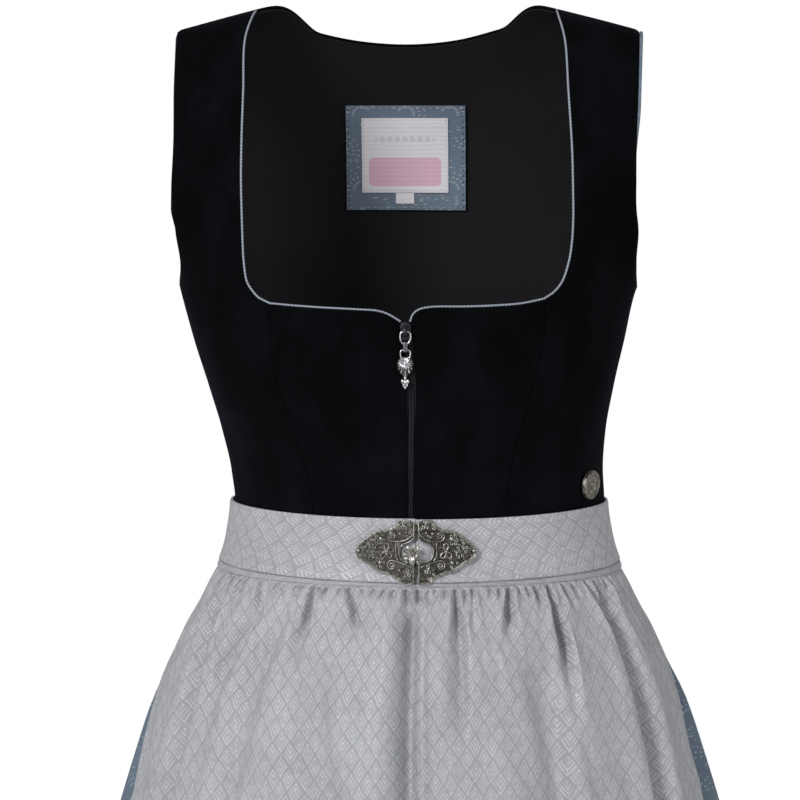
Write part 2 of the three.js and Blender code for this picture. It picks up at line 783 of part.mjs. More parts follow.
// The left end stands a little higher than the right one at the join, and the sides rise
function band() {
  const nu = 44;
  const levels = [BAND_LOW_Z, -349, -338, -327, BAND_TOP_Z];
  const x0 = JOIN_X + 0.15;
  const start = frontAt(x0, -338)[0];
  const end = frontAt(JOIN_X - 0.15, -338)[0] + 2 * Math.PI;
  const at = (i, j) => {
    const angle = lerp(start, end, i / nu);
    const left = smoothstep(Math.PI * 1.45, Math.PI * 2, angle);
    const rise = JOIN_STEP * left + BAND_LIFT * Math.sin(angle) ** 2;
    const z = levels[j] + (rise * j) / 4;
    return [angle, upAt(angle, z)];
  };
  return wall(
    nu,
    levels.length - 1,
    (i, j) => body(...at(i, j), BAND_OUTSIDE),
    (i, j) => body(...at(i, j), BAND_INSIDE),
  );
}
addMesh("waistband", band(), COLOURS.band);

// Its top rows lie flush with the outside of the band
for (const z of [-359, -349, -338])
  LOWER.push({
    z,
    width: bodyWidth(z) + BAND_OUTSIDE,
    front: bodyFront(z) + BAND_OUTSIDE,
    back: bodyBack(z) + BAND_OUTSIDE,
  });
const lowerWidth = column(LOWER, "width");
const lowerFront = column(LOWER, "front");
const lowerBack = column(LOWER, "back");
const underGap = column(UNDER, "gap");
const edgeLeft = column(APRON_EDGE, "left");
const edgeRight = column(APRON_EDGE, "right");

// A point of the outer form, moved level outward
function lower(angle, z, out) {
  const w = lowerWidth(z);
  const c = Math.cos(angle);
  const d = c > 0 ? lowerFront(z) : lowerBack(z);
  const s = Math.sin(angle);
  const n = unit([s / w, -c / d, 0]);
  return [LOWER_CENTRE + w * s + n[0] * out, -d * c + n[1] * out, z];
}

function foldAngle(fold, z) {
  const { top, mid, low } = APRON_LEVELS;
  if (z > mid) return lerp(fold.mid, fold.top, Math.min(1.2, (z - mid) / (top - mid)));
  if (z > low) return lerp(fold.low, fold.mid, (z - low) / (mid - low));
  return lerp(fold.hem, fold.low, (z - APRON_HEM_Z) / (low - APRON_HEM_Z));
}

// Which pucker a place across the apron is in, counted from the left edge
const pucker = (s) => PUCKERS.count * (s + 0.012 * Math.sin(9 * s) + 0.006 * Math.sin(25 * s + 1));

// How far the apron's folds move its cloth, outward above nought
function apronFolds(angle, z) {
  const deg = angle / RAD;
  let move = 0;
  for (const fold of APRON_FOLDS) {
    const begun = smoothstep(fold.from + 4, fold.from - 18, z);
    let depth = fold.depth * begun;
    if (fold.end === 0) depth *= 1 - smoothstep(lerp(fold.from, fold.to, 0.45), fold.to, z);
    else depth = lerp(depth, fold.end, smoothstep(-500, APRON_HEM_Z, z));
    const q = (deg - foldAngle(fold, z)) / fold.half;
    const ridge = Math.exp(-((Math.abs(q) - 1.9) ** 2) * 1.4);
    move += depth * (0.35 * ridge - Math.exp(-q * q));
  }
  const s = (deg - edgeLeft(z)) / (edgeRight(z) - edgeLeft(z));
  const near = Math.exp((z + 362) / PUCKERS.fade);
  const height = PUCKERS.height * (0.75 + 0.25 * Math.sin(13 * s));
  move += height * Math.min(1, near) * Math.cos(2 * Math.PI * pucker(s));
  const wave = HEM_WAVES.count * (s + 0.03 * Math.sin(7 * s + 2)) * 2 * Math.PI;
  move += HEM_WAVES.height * smoothstep(-470, -900, z) * Math.cos(wave) * (0.8 + 0.2 * Math.sin(5 * s));
  return move;
}

const APRON_ROWS = [-359.6, -366, -374, -384, -397, -418, -446, -486, -540, -630, -790, APRON_HEM_Z];
const APRON_COLUMNS = PUCKERS.count * 3;

// Three columns to a pucker, one of them on its crest
const apronColumns = [];
for (let i = 0; i <= APRON_COLUMNS; i++) {
  const want = lerp(pucker(0), pucker(1), i / APRON_COLUMNS);
  let low = 0;
  let high = 1;
  for (let k = 0; k < 40; k++) {
    const mid = (low + high) / 2;
    if (pucker(mid) < want) low = mid;
    else high = mid;
  }
  apronColumns.push((low + high) / 2);
}

function apronAt(i, j, inward) {
  const z = APRON_ROWS[j];
  const angle = lerp(edgeLeft(z), edgeRight(z), apronColumns[i]) * RAD;
  return lower(angle, z, apronFolds(angle, z) * smoothstep(-358.5, -366, z) - inward);
}
addMesh(
  "apron",
  wall(
    APRON_COLUMNS,
    APRON_ROWS.length - 1,
    (i, j) => apronAt(i, j, 0),
    (i, j) => apronAt(i, j, APRON_CLOTH),
  ),
  COLOURS.apron,
);

const skirtSwing = column(SKIRT_SWING, "swing");

// The skirt follows the apron beneath it and has its own folds beyond the apron's edges
function skirtFolds(angle, z) {
  const p = (angle / (2 * Math.PI) + 1) % 1;
  const turn = Math.PI * p;
  const drift = 0.2 * Math.sin(6 * turn) + 0.1 * Math.sin(14 * turn + 1);
  const phase = 2 * Math.PI * (SKIRT_FOLDS.count * p + drift);
  const uneven = 0.8 + 0.2 * Math.sin(10 * turn + 0.7);
  return skirtSwing(z) * uneven * (Math.cos(phase) - 0.7);
}

const SKIRT_ROWS = [-338.4, -359.8, -374, -397, -446, -540, -630, -790, -900, SKIRT_HEM_Z];
const FRONT_COLUMNS = 38;
const BACK_SKIRT_COLUMNS = 70;

// The lowest of the apron's folds near a place
function beneath(deg, z) {
  const near = [-3.1, -1.6, 0, 1.6, 3.1].map((d) => apronFolds((deg + d) * RAD, z));
  return Math.min(...near) * smoothstep(-358.5, -366, z) - underGap(z);
}

function skirtAt(angle, z, inward) {
  const deg = angle / RAD;
  const wrapped = deg > 180 ? deg - 360 : deg;
  const over = wrapped < 0 ? edgeLeft(z) - wrapped : wrapped - edgeRight(z);
  const own = smoothstep(1.5, 11, over);
  const open = skirtFolds(angle, z) - lerp(3.0, 0.6, smoothstep(-360, -384, z));
  return lower(angle, z, lerp(beneath(wrapped, z), open, own) - inward);
}

// Degrees of the front's columns, closer together where the apron leaves it open
function frontColumn(i) {
  const end = 92 - 0.09;
  const t = (i / FRONT_COLUMNS) * 2 - 1;
  const far = Math.abs(t);
  const deg = far < 0.56 ? (far / 0.56) * 66 : lerp(66, end, (far - 0.56) / 0.44);
  return Math.sign(t) * deg * RAD;
}

function skirtPanel(nu, angle) {
  return wall(
    nu,
    SKIRT_ROWS.length - 1,
    (i, j) => skirtAt(angle(i), SKIRT_ROWS[j], 0),
    (i, j) => skirtAt(angle(i), SKIRT_ROWS[j], SKIRT_CLOTH),
  );
}
addMesh("skirt_front", skirtPanel(FRONT_COLUMNS, frontColumn), COLOURS.skirt);
const backColumn = (i) => lerp(92.09, 267.91, i / BACK_SKIRT_COLUMNS) * RAD;
addMesh("skirt_back", skirtPanel(BACK_SKIRT_COLUMNS, backColumn), COLOURS.skirt);

function zipTape() {
  const half = ZIP.chainHalf;
  const across = [-ZIP.tapeHalf, -half - 0.2, -half, half, half + 0.2, ZIP.tapeHalf];
  const raised = [0, 0, ZIP.chainRise, ZIP.chainRise, 0, 0];
  const levels = [...FRONT_LEVELS, ZIP.topZ - 1.2];
  const at = (i, j) => frontAt(zipX(levels[j]) + across[i], levels[j]);
  const shown = (j) => smoothstep(2.2, 2.45, zipGap(levels[j]));
  return wall(
    across.length - 1,
    levels.length - 1,
    (i, j) => body(...at(i, j), -VELVET - 0.5 + raised[i] * shown(j)),
    (i, j) => body(...at(i, j), -VELVET - 0.5 - LINING),
  );
}
addMesh("zip_tape", zipTape(), COLOURS.zip);

// Solids of the pull are made upright, then laid on the bodice at its slope
const PULL_TOP = { x: 2.9, z: -198, out: 3.3 };
const pullFoot = body(...frontAt(PULL_TOP.x, -232), 0);
const pullHead = body(...frontAt(PULL_TOP.x, PULL_TOP.z), 0);
const pullSlope = Math.atan2(pullHead[1] - pullFoot[1], pullHead[2] - pullFoot[2]);

function layPull(solid) {
  return solid
    .rotate([(-pullSlope / RAD), 0, 0])
    .translate([pullHead[0], pullHead[1] - PULL_TOP.out, pullHead[2]]);
}

function addSolid(name, solid, colour) {
  const mesh = solid.getMesh();
  const geometry = new THREE.BufferGeometry();
  const n = mesh.numProp;
  const flat = new Float32Array(mesh.numVert * 3);
  for (let i = 0; i < mesh.numVert; i++) {
    flat.set(mesh.vertProperties.subarray(i * n, i * n + 3), i * 3);
  }
  geometry.setAttribute("position", new THREE.BufferAttribute(flat, 3));
  geometry.setIndex(new THREE.BufferAttribute(mesh.triVerts, 1));
  addMesh(name, mergeVertices(geometry, 1e-4), colour);
}

function solidOf(geometry) {
  const bare = new THREE.BufferGeometry();
  bare.setAttribute("position", geometry.getAttribute("position"));
  bare.setIndex(geometry.index);
  const merged = mergeVertices(bare, 1e-4);
  const mesh = new wasm.Mesh({
    numProp: 3,
    vertProperties: new Float32Array(merged.attributes.position.array),
    triVerts: new Uint32Array(merged.index.array),
  });
  return new Manifold(mesh);
}

const box = (x, y, z, at = [0, 0, 0]) => Manifold.cube([x, y, z], true).translate(at);

// A bar along X
const bar = (radius, length, at = [0, 0, 0], sides = 12) =>
  Manifold.cylinder(length, radius, radius, sides, true).rotate([0, 90, 0]).translate(at);

// A closed wire in the upright plane
function wire(rows, radius) {
  const line = rows.map(([x, z]) => [x, 0, z]);
  return solidOf(cord(line, radius, 6, true));
}

const RING = { half: 3.2, drop: 7.2, wire: 0.5 };
const LINK = { width: 2.6, deep: 2.2, tall: 6.2, span: 3.9 };
const linkHinge = -RING.drop;

const slider = Manifold.union([
  box(5.4, 1.6, 9.0, [0, 1.9, -0.6]),
  box(3.0, 2.6, 4.0, [0, 0, 0]),
  box(3.0, 1.5, 3.0, [0, 1.4, 0]),
]).subtract(bar(0.95, 8, [0, 0, 0], 10));
addSolid("zip_slider", layPull(slider), COLOURS.slider);

const ringLine = [
  [-1.9, 0],
  [0, 0],
  [1.9, 0],
  [2.9, -0.9],
  [3.25, -3.0],
  [2.7, -5.4],
  [1.5, -7.0],
  [0, linkHinge],
  [-1.5, -7.0],
  [-2.7, -5.4],
  [-3.25, -3.0],
  [-2.9, -0.9],
];
addSolid("zip_ring", layPull(wire(ringLine, RING.wire)), COLOURS.silver);

const link = box(LINK.width, LINK.deep, LINK.tall, [0, 0, linkHinge - 1.9])
  .subtract(bar(1.0, 6, [0, 0, linkHinge], 10))
  .subtract(bar(0.9, 6, [0, 0, linkHinge - LINK.span], 10));
addSolid("zip_link", layPull(link), COLOURS.slider);

const bailTop = linkHinge - LINK.span;
const bail = wire(
  [
    [-1.9, bailTop],
    [0, bailTop],
    [1.9, bailTop],
    [2.9, bailTop - 0.8],
    [2.9, bailTop - 4.4],
    [0, bailTop - 5.2],
    [-2.9, bailTop - 4.4],
    [-2.9, bailTop - 0.8],
  ],
  0.5,
);

// The pendant is a ribbed shell with a bud at its tip
function shell() {
  const rows = [
    { z: 0, r: 2.4 },
    { z: -1.6, r: 4.4 },
    { z: -3.8, r: 5.2 },
    { z: -6.2, r: 4.7 },
    { z: -8.6, r: 3.4 },
    { z: -10.8, r: 2.0 },
    { z: -12.4, r: 1.0 },
    { z: -13.6, r: 1.9 },
    { z: -15.4, r: 2.8 },
    { z: -17.2, r: 2.6 },
    { z: -18.6, r: 1.4 },
  ];
  const sides = 8;
  const points = [];
  const faces = [];
  for (const row of rows) {
    for (let k = 0; k < sides; k++) {
      const a = (2 * Math.PI * k) / sides;
      const depth = Math.sin(a) < 0 ? 0.34 : 0.12;
      points.push([row.r * Math.cos(a), Math.sin(a) * row.r * depth, row.z]);
    }
  }
  for (let j = 0; j < rows.length - 1; j++) {
    for (let k = 0; k < sides; k++) {
      const a = j * sides + k;
      const b = j * sides + ((k + 1) % sides);
      faces.push([a, b, b + sides], [a, b + sides, a + sides]);
    }
  }
  const last = (rows.length - 1) * sides;
  for (let k = 1; k < sides - 1; k++) faces.push([0, k + 1, k], [last, last + k, last + k + 1]);
  return solidOf(geometryOf(points, faces)).translate([0, 0, bailTop - 4.6]);
}
addSolid("zip_pendant", layPull(bail.add(shell())), COLOURS.silver);

function layClasp(solid, x) {
  const [a, v] = frontAt(x, CLASP.z);
  const n = formNormal(a, v);
  const p = body(a, v, BAND_OUTSIDE + CLASP.lift);
  const high = body(...frontAt(x, BAND_TOP_Z), 0);
  const low = body(...frontAt(x, CLASP.seamZ), 0);
  const yaw = Math.atan2(n[0], -n[1]) / RAD;
  const pitch = Math.atan2(high[1] - low[1], high[2] - low[2]) / RAD;
  return solid.rotate([-pitch, 0, 0]).rotate([0, 0, yaw]).translate(p);
}

function claspHalf(side) {
  const outline = CLASP_OUTLINE.map((p) => [side * p.u, p.w]);
  const shape = new CrossSection([side > 0 ? outline.reverse() : outline], "Positive");
  const whole = shape.area() > 0 ? shape : new CrossSection([outline.reverse()], "Positive");
  const rim = whole.subtract(whole.offset(-CLASP.inset, "Miter"));
  const plate = Manifold.extrude(whole, CLASP.thick).add(Manifold.extrude(rim, CLASP.thick + CLASP.rim));
  const ball = Manifold.sphere(1.5, 6).translate([side * 35.4, 0.2, CLASP.thick + 0.3]);
  const face = CLASP.thick - 0.1;
  const rosette = Manifold.cylinder(1.0, 3.4, 2.2, 10).translate([side * 20, -0.2, face]);
  const top = Manifold.cylinder(1.1, 3.2, 1.8, 8).translate([side * 8.0, 14.6, face]);
  const low = Manifold.cylinder(1.1, 3.2, 1.8, 8).translate([side * 6.4, -14.8, face]);
  return Manifold.union([plate, ball, rosette, top, low])
    .rotate([90, 0, 0])
    .translate([-side * CLASP.reach, 0, 0]);
}

// The raised flower belongs to the left half and lies over the join
function claspFlower() {
  const petals = [100, 25, -35, -100, 190].map((a, i) => {
    const long = [4.6, 5.6, 4.4, 5.4, 5.8][i];
    const petal = Manifold.sphere(1, 6).scale([long * 0.55, 1.9, 0.7]);
    return petal.translate([long * 0.62, 0, 0]).rotate([0, 0, a]);
  });
  const heart = Manifold.sphere(1.9, 8).scale([1, 1, 0.8]);
  const arm = box(9.4, 2.0, 0.9, [-5.6, -1.2, -0.6]).rotate([0, 0, 8]);
  const foot = box(2.4, 2.4, 2.2, [-10.2, -3.0, -1.0]);
  return Manifold.union([...petals, heart, arm, foot])
    .translate([-2.4, 0.4, CLASP.thick + 1.7])
    .rotate([90, 0, 0])
    .translate([CLASP.reach, 0, 0]);
}
const claspLeft = claspHalf(-1).add(claspFlower());
addSolid("clasp_left", layClasp(claspLeft, CLASP.x - CLASP.reach), COLOURS.antique);
addSolid("clasp_right", layClasp(claspHalf(1), CLASP.x + CLASP.reach), COLOURS.antique);

function badge() {
  const disc = Manifold.cylinder(BADGE.thick, BADGE.radius, BADGE.radius, 20);
  const cone = Manifold.cylinder(BADGE.dome, BADGE.radius - 0.9, BADGE.radius - 4.2, 20);
  const dome = cone.translate([0, 0, BADGE.thick - 0.05]);
  const heart = Manifold.sphere(1.9, 8).translate([0, 0, BADGE.thick + BADGE.dome - 0.6]);
  const solid = Manifold.union([disc, dome, heart]).rotate([90, 0, 0]);
  const [a, v] = frontAt(BADGE.x, BADGE.z);
  const n = formNormal(a, v);
  const p = body(a, v, 1.2);
  return solid
    .rotate([(-Math.asin(n[2]) / RAD), 0, 0])
    .rotate([0, 0, Math.atan2(n[0], -n[1]) / RAD])
    .translate(p);
}
addSolid("badge", badge(), COLOURS.silver);

export default group;
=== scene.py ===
"""A dressed dirndl: velvet bodice, jacquard apron on a clasped band, printed skirt, silver trims."""

import json
import logging
import math
from dataclasses import dataclass
from enum import Enum
from typing import Iterable, Sequence

import bmesh
import bpy
import numpy as np
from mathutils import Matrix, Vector

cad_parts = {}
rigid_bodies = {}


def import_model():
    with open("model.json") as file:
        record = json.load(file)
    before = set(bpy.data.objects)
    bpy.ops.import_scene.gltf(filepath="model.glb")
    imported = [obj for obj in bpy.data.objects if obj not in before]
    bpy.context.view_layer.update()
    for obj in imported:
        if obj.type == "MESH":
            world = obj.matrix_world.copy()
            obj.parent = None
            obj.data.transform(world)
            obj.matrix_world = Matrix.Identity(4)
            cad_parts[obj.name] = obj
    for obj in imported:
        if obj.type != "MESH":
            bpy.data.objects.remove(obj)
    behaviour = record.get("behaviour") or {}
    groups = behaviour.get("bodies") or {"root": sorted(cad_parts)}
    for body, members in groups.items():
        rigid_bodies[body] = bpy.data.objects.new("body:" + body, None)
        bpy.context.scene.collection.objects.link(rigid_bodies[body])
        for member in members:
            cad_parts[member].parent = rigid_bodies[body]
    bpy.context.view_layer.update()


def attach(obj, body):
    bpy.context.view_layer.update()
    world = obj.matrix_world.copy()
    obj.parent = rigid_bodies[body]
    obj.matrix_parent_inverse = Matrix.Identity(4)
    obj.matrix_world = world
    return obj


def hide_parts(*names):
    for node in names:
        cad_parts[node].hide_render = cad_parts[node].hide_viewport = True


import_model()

logging.basicConfig(level=logging.INFO, format="%(levelname)s %(message)s")
log = logging.getLogger("dirndl")

Array = np.ndarray
Real = float | Array
Socket = bpy.types.NodeSocket
Material = bpy.types.Material
Piece = bpy.types.Object

MM = 0.001
RAD = math.pi / 180

# Camera, as the photograph was taken
VIEW_AZIMUTH = 2.3
VIEW_ELEVATION = 5.5
VIEW_DISTANCE = 2.30
VIEW_LENS = 160.0
VIEW_TARGET = Vector((-0.005, 0.0, -0.251))

# Cloth walls and gaps, millimetres
VELVET = 1.6
LINING_FACE = 2.1
LINING = 1.0
PATCH_FACE = 3.6
SEAM = 0.3

# Heights, millimetres
CHEST_Z = -125.0
LOW_Z = -362.0
WAIST_Z = -338.0
BAND_TOP_Z = -317.0
BAND_LOW_Z = -359.2
APRON_HEM_Z = -978.0
SKIRT_HEM_Z = -1008.0

NECK_X = 97.5
SHOULDER_SLOPE = 0.271
SHOULDER_ROUND = 30.0
BAND_INSIDE = 0.7
BAND_OUTSIDE = 2.7
JOIN_X = 8.6
JOIN_STEP = 0.5
BAND_LIFT = 2.0
LOWER_CENTRE = 7.5

# Sections of the body form: height, half width, front, back, centre, power
BODY = (
    (-362, 129.6, 95.2, 91.0, 7.5, 1.0),
    (-338, 122.8, 90.4, 86.0, 7.5, 1.0),
    (-316, 120.0, 89.6, 83.5, 7.3, 1.0),
    (-296, 120.5, 94.0, 84.5, 5.9, 0.97),
    (-268, 124.3, 104.0, 88.0, 3.8, 0.92),
    (-239, 131.0, 114.0, 92.5, 2.6, 0.87),
    (-211, 138.7, 114.0, 97.0, 1.3, 0.85),
    (-182, 145.9, 108.5, 100.5, 0, 0.85),
    (-160, 153.0, 102.5, 102.0, 1.6, 0.85),
    (-140, 161.0, 97.0, 102.0, 1.6, 0.85),
    (-125, 164.0, 93.5, 101.5, 0, 0.85),
    (-118, 164.0, 92.0, 101.0, 0, 0.85),
)
BUST_X, BUST_Z, BUST_PUSH, BUST_ACROSS, BUST_UP = 72.0, -234.0, 7.5, 50.0, 52.0

# Sections of the outer form of the skirt and the apron: height, half width, front, back
LOWER = (
    (-1008, 321, 272, 283),
    (-900, 295, 248, 258),
    (-750, 257, 212, 222),
    (-600, 218, 173, 182),
    (-512, 194, 148, 155),
    (-484, 185.6, 140, 147),
    (-455, 176.4, 131.5, 138),
    (-426, 165.6, 122, 128),
    (-397, 151.8, 111.5, 116),
    (-383, 143.8, 106.5, 109),
    (-368, 136.2, 101, 97.5),
)
BAND_HEIGHTS = (-359, -349, -338)

# How far the skirt lies inside the outer form: height, gap
UNDER = ((-1008, 7), (-600, 7), (-430, 5), (-372, 3.2), (-338, 3.0))

# Side edges of the apron: height, degrees left and right
APRON_EDGE = (
    (-978, -70.5, 68),
    (-512, -74, 73),
    (-483, -75, 74.3),
    (-460, -78.2, 76.8),
    (-440, -81.6, 80.6),
    (-420, -83.6, 84),
    (-392, -85, 86),
    (-359, -86, 87),
)

# Swing of the skirt's own folds: height, millimetres
SKIRT_SWING = ((-1008, 17), (-700, 13), (-430, 5.5), (-372, 2.4), (-352, 0), (-338, 0))
SKIRT_FOLDS = 21

# Outlines of the front, x and height
NECK_LEFT = ((-98.6, 0), (-103, -18), (-102.6, -50), (-102.8, -80), (-102.7, -105), (-101.8, -131),
             (-101.3, -144.4), (-100.5, -157), (-98.2, -169.6), (-93.9, -175.9), (-90, -179.5),
             (-82.6, -182.8))
NECK_RIGHT = ((96.4, 0), (101.4, -18), (103.7, -50), (106.2, -88), (106.8, -110), (107, -130),
              (106.2, -145), (104.3, -157), (100.1, -169.3), (94.9, -175.6), (88.6, -179.7))
TOP_LEFT = ((-82.6, -182.8), (-69, -183.6), (-48, -184.6), (-26, -185.5), (-15, -186.2),
            (-8.5, -188.1), (-4.3, -190.4), (-0.8, -192.6))
TOP_RIGHT = ((88.6, -179.7), (75, -182.1), (61, -183), (40, -183.6), (18, -183.9), (11, -185.5),
             (8, -188.2), (6.6, -192))
PRINCESS_LEFT = ((-82.6, -182.8), (-82, -206), (-77.5, -232), (-70.5, -250), (-62, -280), (-57.5, -308),
                 (-56.5, -338))
PRINCESS_RIGHT = ((88.6, -179.7), (88.6, -198), (85, -222), (77.5, -247), (69.5, -280), (65.5, -310),
                  (65.5, -338))
ARM_FRONT = ((90, -177), (83.5, -174.6), (75, -166), (67.8, -150), (63.6, -130), (63.2, -105),
             (63.4, -70), (64.0, -40), (64.6, -13.6))
ARM_BACK = ((90, -177), (96.5, -174.6), (105, -166), (112.2, -150), (116.4, -130), (116.8, -100),
            (116.6, -70), (116.0, -40), (115.4, -13.6))
NECK_BACK = ((97.5, 0), (88, 0.2), (74, -3.4), (54, -8.8), (30, -14.2), (0, -16.6),
             (-30, -15), (-54, -11.2), (-74, -6.0), (-88, -1.2), (-97.5, 0))

# Line of the zip and half its gap: height, x, half gap
ZIP_LINE = ((-338, 5.4, 0.9), (-316, 5.4, 1.0), (-300, 5.5, 1.3), (-271, 5.9, 1.8), (-236, 6.8, 2.5),
            (-212, 5.2, 2.7), (-192, 3.1, 2.7))


@dataclass(frozen=True)
class Fold:
    """One long fold of the apron, as an angle that moves with height."""

    top: float
    mid: float
    low: float
    hem: float
    start: float
    end: float
    depth: float
    hem_depth: float
    half: float
    crisp: float = 1.0


APRON_FOLDS = [Fold(*row) for row in (
    (-71.5, -69, -68, -66, -362, -430, 3.6, 0, 2.4),
    (-65.2, -58, -57, -55, -362, -978, 4.6, 9, 3.0),
    (-45, -50, -50, -47, -364, -470, 3.6, 0, 3.2),
    (-36.4, -38.4, -39, -36, -376, -978, 2.6, 8, 3.6),
    (-29.4, -28.6, -28, -28, -361, -418, 3.2, 0, 2.0),
    (-24, -22.6, -16.6, -16, -400, -978, 3.6, 9, 4.6),
    (-16.8, -13.6, -13, -13, -361, -396, 3.0, 0, 1.8),
    (-1.0, -1.4, -1.2, 2, -360, -978, 4.4, 10, 2.7, 2.1),
    (11.5, 10.2, 10.0, 11, -361, -470, 3.6, 0, 2.0),
    (25.9, 24, 22, 21, -361, -392, 3.2, 0, 1.7),
    (31.5, 30.2, 28.4, 24, -398, -978, 4.0, 10, 4.6, 1.3),
    (40.6, 36.6, 36, 35, -366, -450, 3.8, 0, 1.9, 1.2),
    (60.1, 58.4, 55.8, 50, -360, -978, 8.2, 13, 3.0, 0.6),
)]
FOLD_TOP, FOLD_MID, FOLD_LOW = -364.0, -430.0, -500.0
FOLD_CRISP = 1.05
CRISP_AT_HEM = 0.5


@dataclass(frozen=True)
class Pinch:
    """One pinched gather under the band: degrees at top and foot, the foot's height, depth, half width."""

    top: float
    foot: float
    end: float
    depth: float
    half: float


PINCH_TOP = -359.6
PINCH_DEEPER = 1.55
PINCHES = [Pinch(*row) for row in (
    (-78.5, -78, -374, 1.8, 0.9), (-69.5, -71.0, -392, 2.4, 0.9), (-62.5, -59.5, -402, 2.8, 0.9),
    (-57.6, -57.0, -373, 1.9, 0.7), (-54.6, -54.0, -375, 1.7, 0.7), (-48.5, -44.5, -380, 2.0, 0.8),
    (-41.6, -41.0, -367, 1.4, 0.6), (-38.6, -38.2, -366, 1.4, 0.5), (-34.1, -34.4, -366, 1.9, 0.55),
    (-32.0, -33.4, -369, 2.1, 0.6), (-28.9, -28.0, -388, 2.7, 0.75), (-26.6, -27.2, -365, 1.7, 0.5),
    (-24.3, -25.4, -366, 2.0, 0.55), (-20.9, -20.4, -365, 1.7, 0.5), (-18.4, -12.8, -389, 2.7, 0.7),
    (-14.2, -14.0, -365, 1.4, 0.5), (-10.9, -11.2, -366, 1.8, 0.5), (-8.1, -8.4, -366, 1.7, 0.5),
    (-5.4, -5.8, -368, 2.0, 0.55), (-2.2, -1.2, -373, 2.8, 0.75), (0.9, 1.6, -372, 2.5, 0.65),
    (4.5, 3.4, -369, 2.1, 0.55), (6.0, 4.6, -369, 2.1, 0.6), (8.6, 8.6, -366, 1.5, 0.5),
    (11.2, 11.0, -388, 2.4, 0.7), (14.0, 14.2, -374, 1.8, 0.6), (16.0, 15.4, -384, 2.3, 0.65),
    (21.0, 21.0, -366, 1.7, 0.5), (23.6, 23.4, -366, 1.7, 0.5), (26.8, 24.0, -386, 2.9, 0.8),
    (29.6, 29.8, -366, 1.5, 0.5), (31.9, 32.8, -367, 1.9, 0.55), (34.6, 35.6, -374, 2.3, 0.65),
    (39.3, 38.6, -402, 2.9, 0.8), (44.4, 46.2, -374, 2.3, 0.65), (48.0, 49.2, -368, 1.8, 0.55),
    (54.2, 57.8, -392, 2.9, 0.85), (58.3, 60.2, -375, 2.2, 0.7), (63.4, 64.4, -369, 1.8, 0.65),
    (67.0, 68.4, -374, 2.0, 0.75), (73.5, 74.2, -371, 1.8, 0.9), (80.5, 81.0, -372, 1.8, 0.9),
)]
PUCKERS, PUCKER_HEIGHT, PUCKER_FADE = 31, 1.8, 24.0
HEM_WAVES, HEM_WAVE_HEIGHT = 9, 7.5


def lerp(a: Real, b: Real, t: Real) -> Array:
    """Mixes two values.

    Args:
        a: value at 0. b: value at 1. t: share.

    Returns:
        The mixed value.
    """
    return a + (b - a) * t


def smoothstep(a: float, b: float, x: Real) -> Array:
    """A soft step from 0 at a to 1 at b.

    Args:
        a: start. b: end. x: place, a number or an array.

    Returns:
        The step's value at x.
    """
    t = np.clip((np.asarray(x, float) - a) / (b - a), 0, 1)
    return t * t * (3 - 2 * t)


class Column:
    """A smooth column of a table against its height, with no overshoot."""

    def __init__(self, rows: Sequence[Sequence[float]], index: int, along: int = 0) -> None:
        ordered = sorted(rows, key=lambda r: r[along])
        self.x = np.array([r[along] for r in ordered], float)
        self.y = np.array([r[index] for r in ordered], float)
        d = np.diff(self.y) / np.diff(self.x)
        m = np.empty(len(self.x))
        m[0], m[-1] = d[0], d[-1]
        product = d[:-1] * d[1:]
        total = np.where(np.abs(d[:-1] + d[1:]) < 1e-12, 1.0, d[:-1] + d[1:])
        m[1:-1] = np.where(product <= 0, 0.0, 2 * product / total)
        self.m = m

    def __call__(self, x: Real) -> Array:
        """The column's value at one or many heights.

        Args:
            x: height or array of heights.

        Returns:
            The value or values there.
        """
        x = np.asarray(x, float)
        q = np.clip(x, self.x[0], self.x[-1])
        i = np.clip(np.searchsorted(self.x, q, side="right") - 1, 0, len(self.x) - 2)
        h = self.x[i + 1] - self.x[i]
        t = (q - self.x[i]) / h
        a = self.y[i] * (1 + 2 * t) * (1 - t) ** 2 + self.y[i + 1] * t * t * (3 - 2 * t)
        a = a + h * (self.m[i] * t * (1 - t) ** 2 - self.m[i + 1] * t * t * (1 - t))
        return a + np.minimum(x - self.x[0], 0) * self.m[0]


def unit(v: Array) -> Array:
    """Scales vectors to length one.

    Args:
        v: array whose last axis is x, y, z.

    Returns:
        The unit vectors.
    """
    return v / np.maximum(np.linalg.norm(v, axis=-1, keepdims=True), 1e-12)


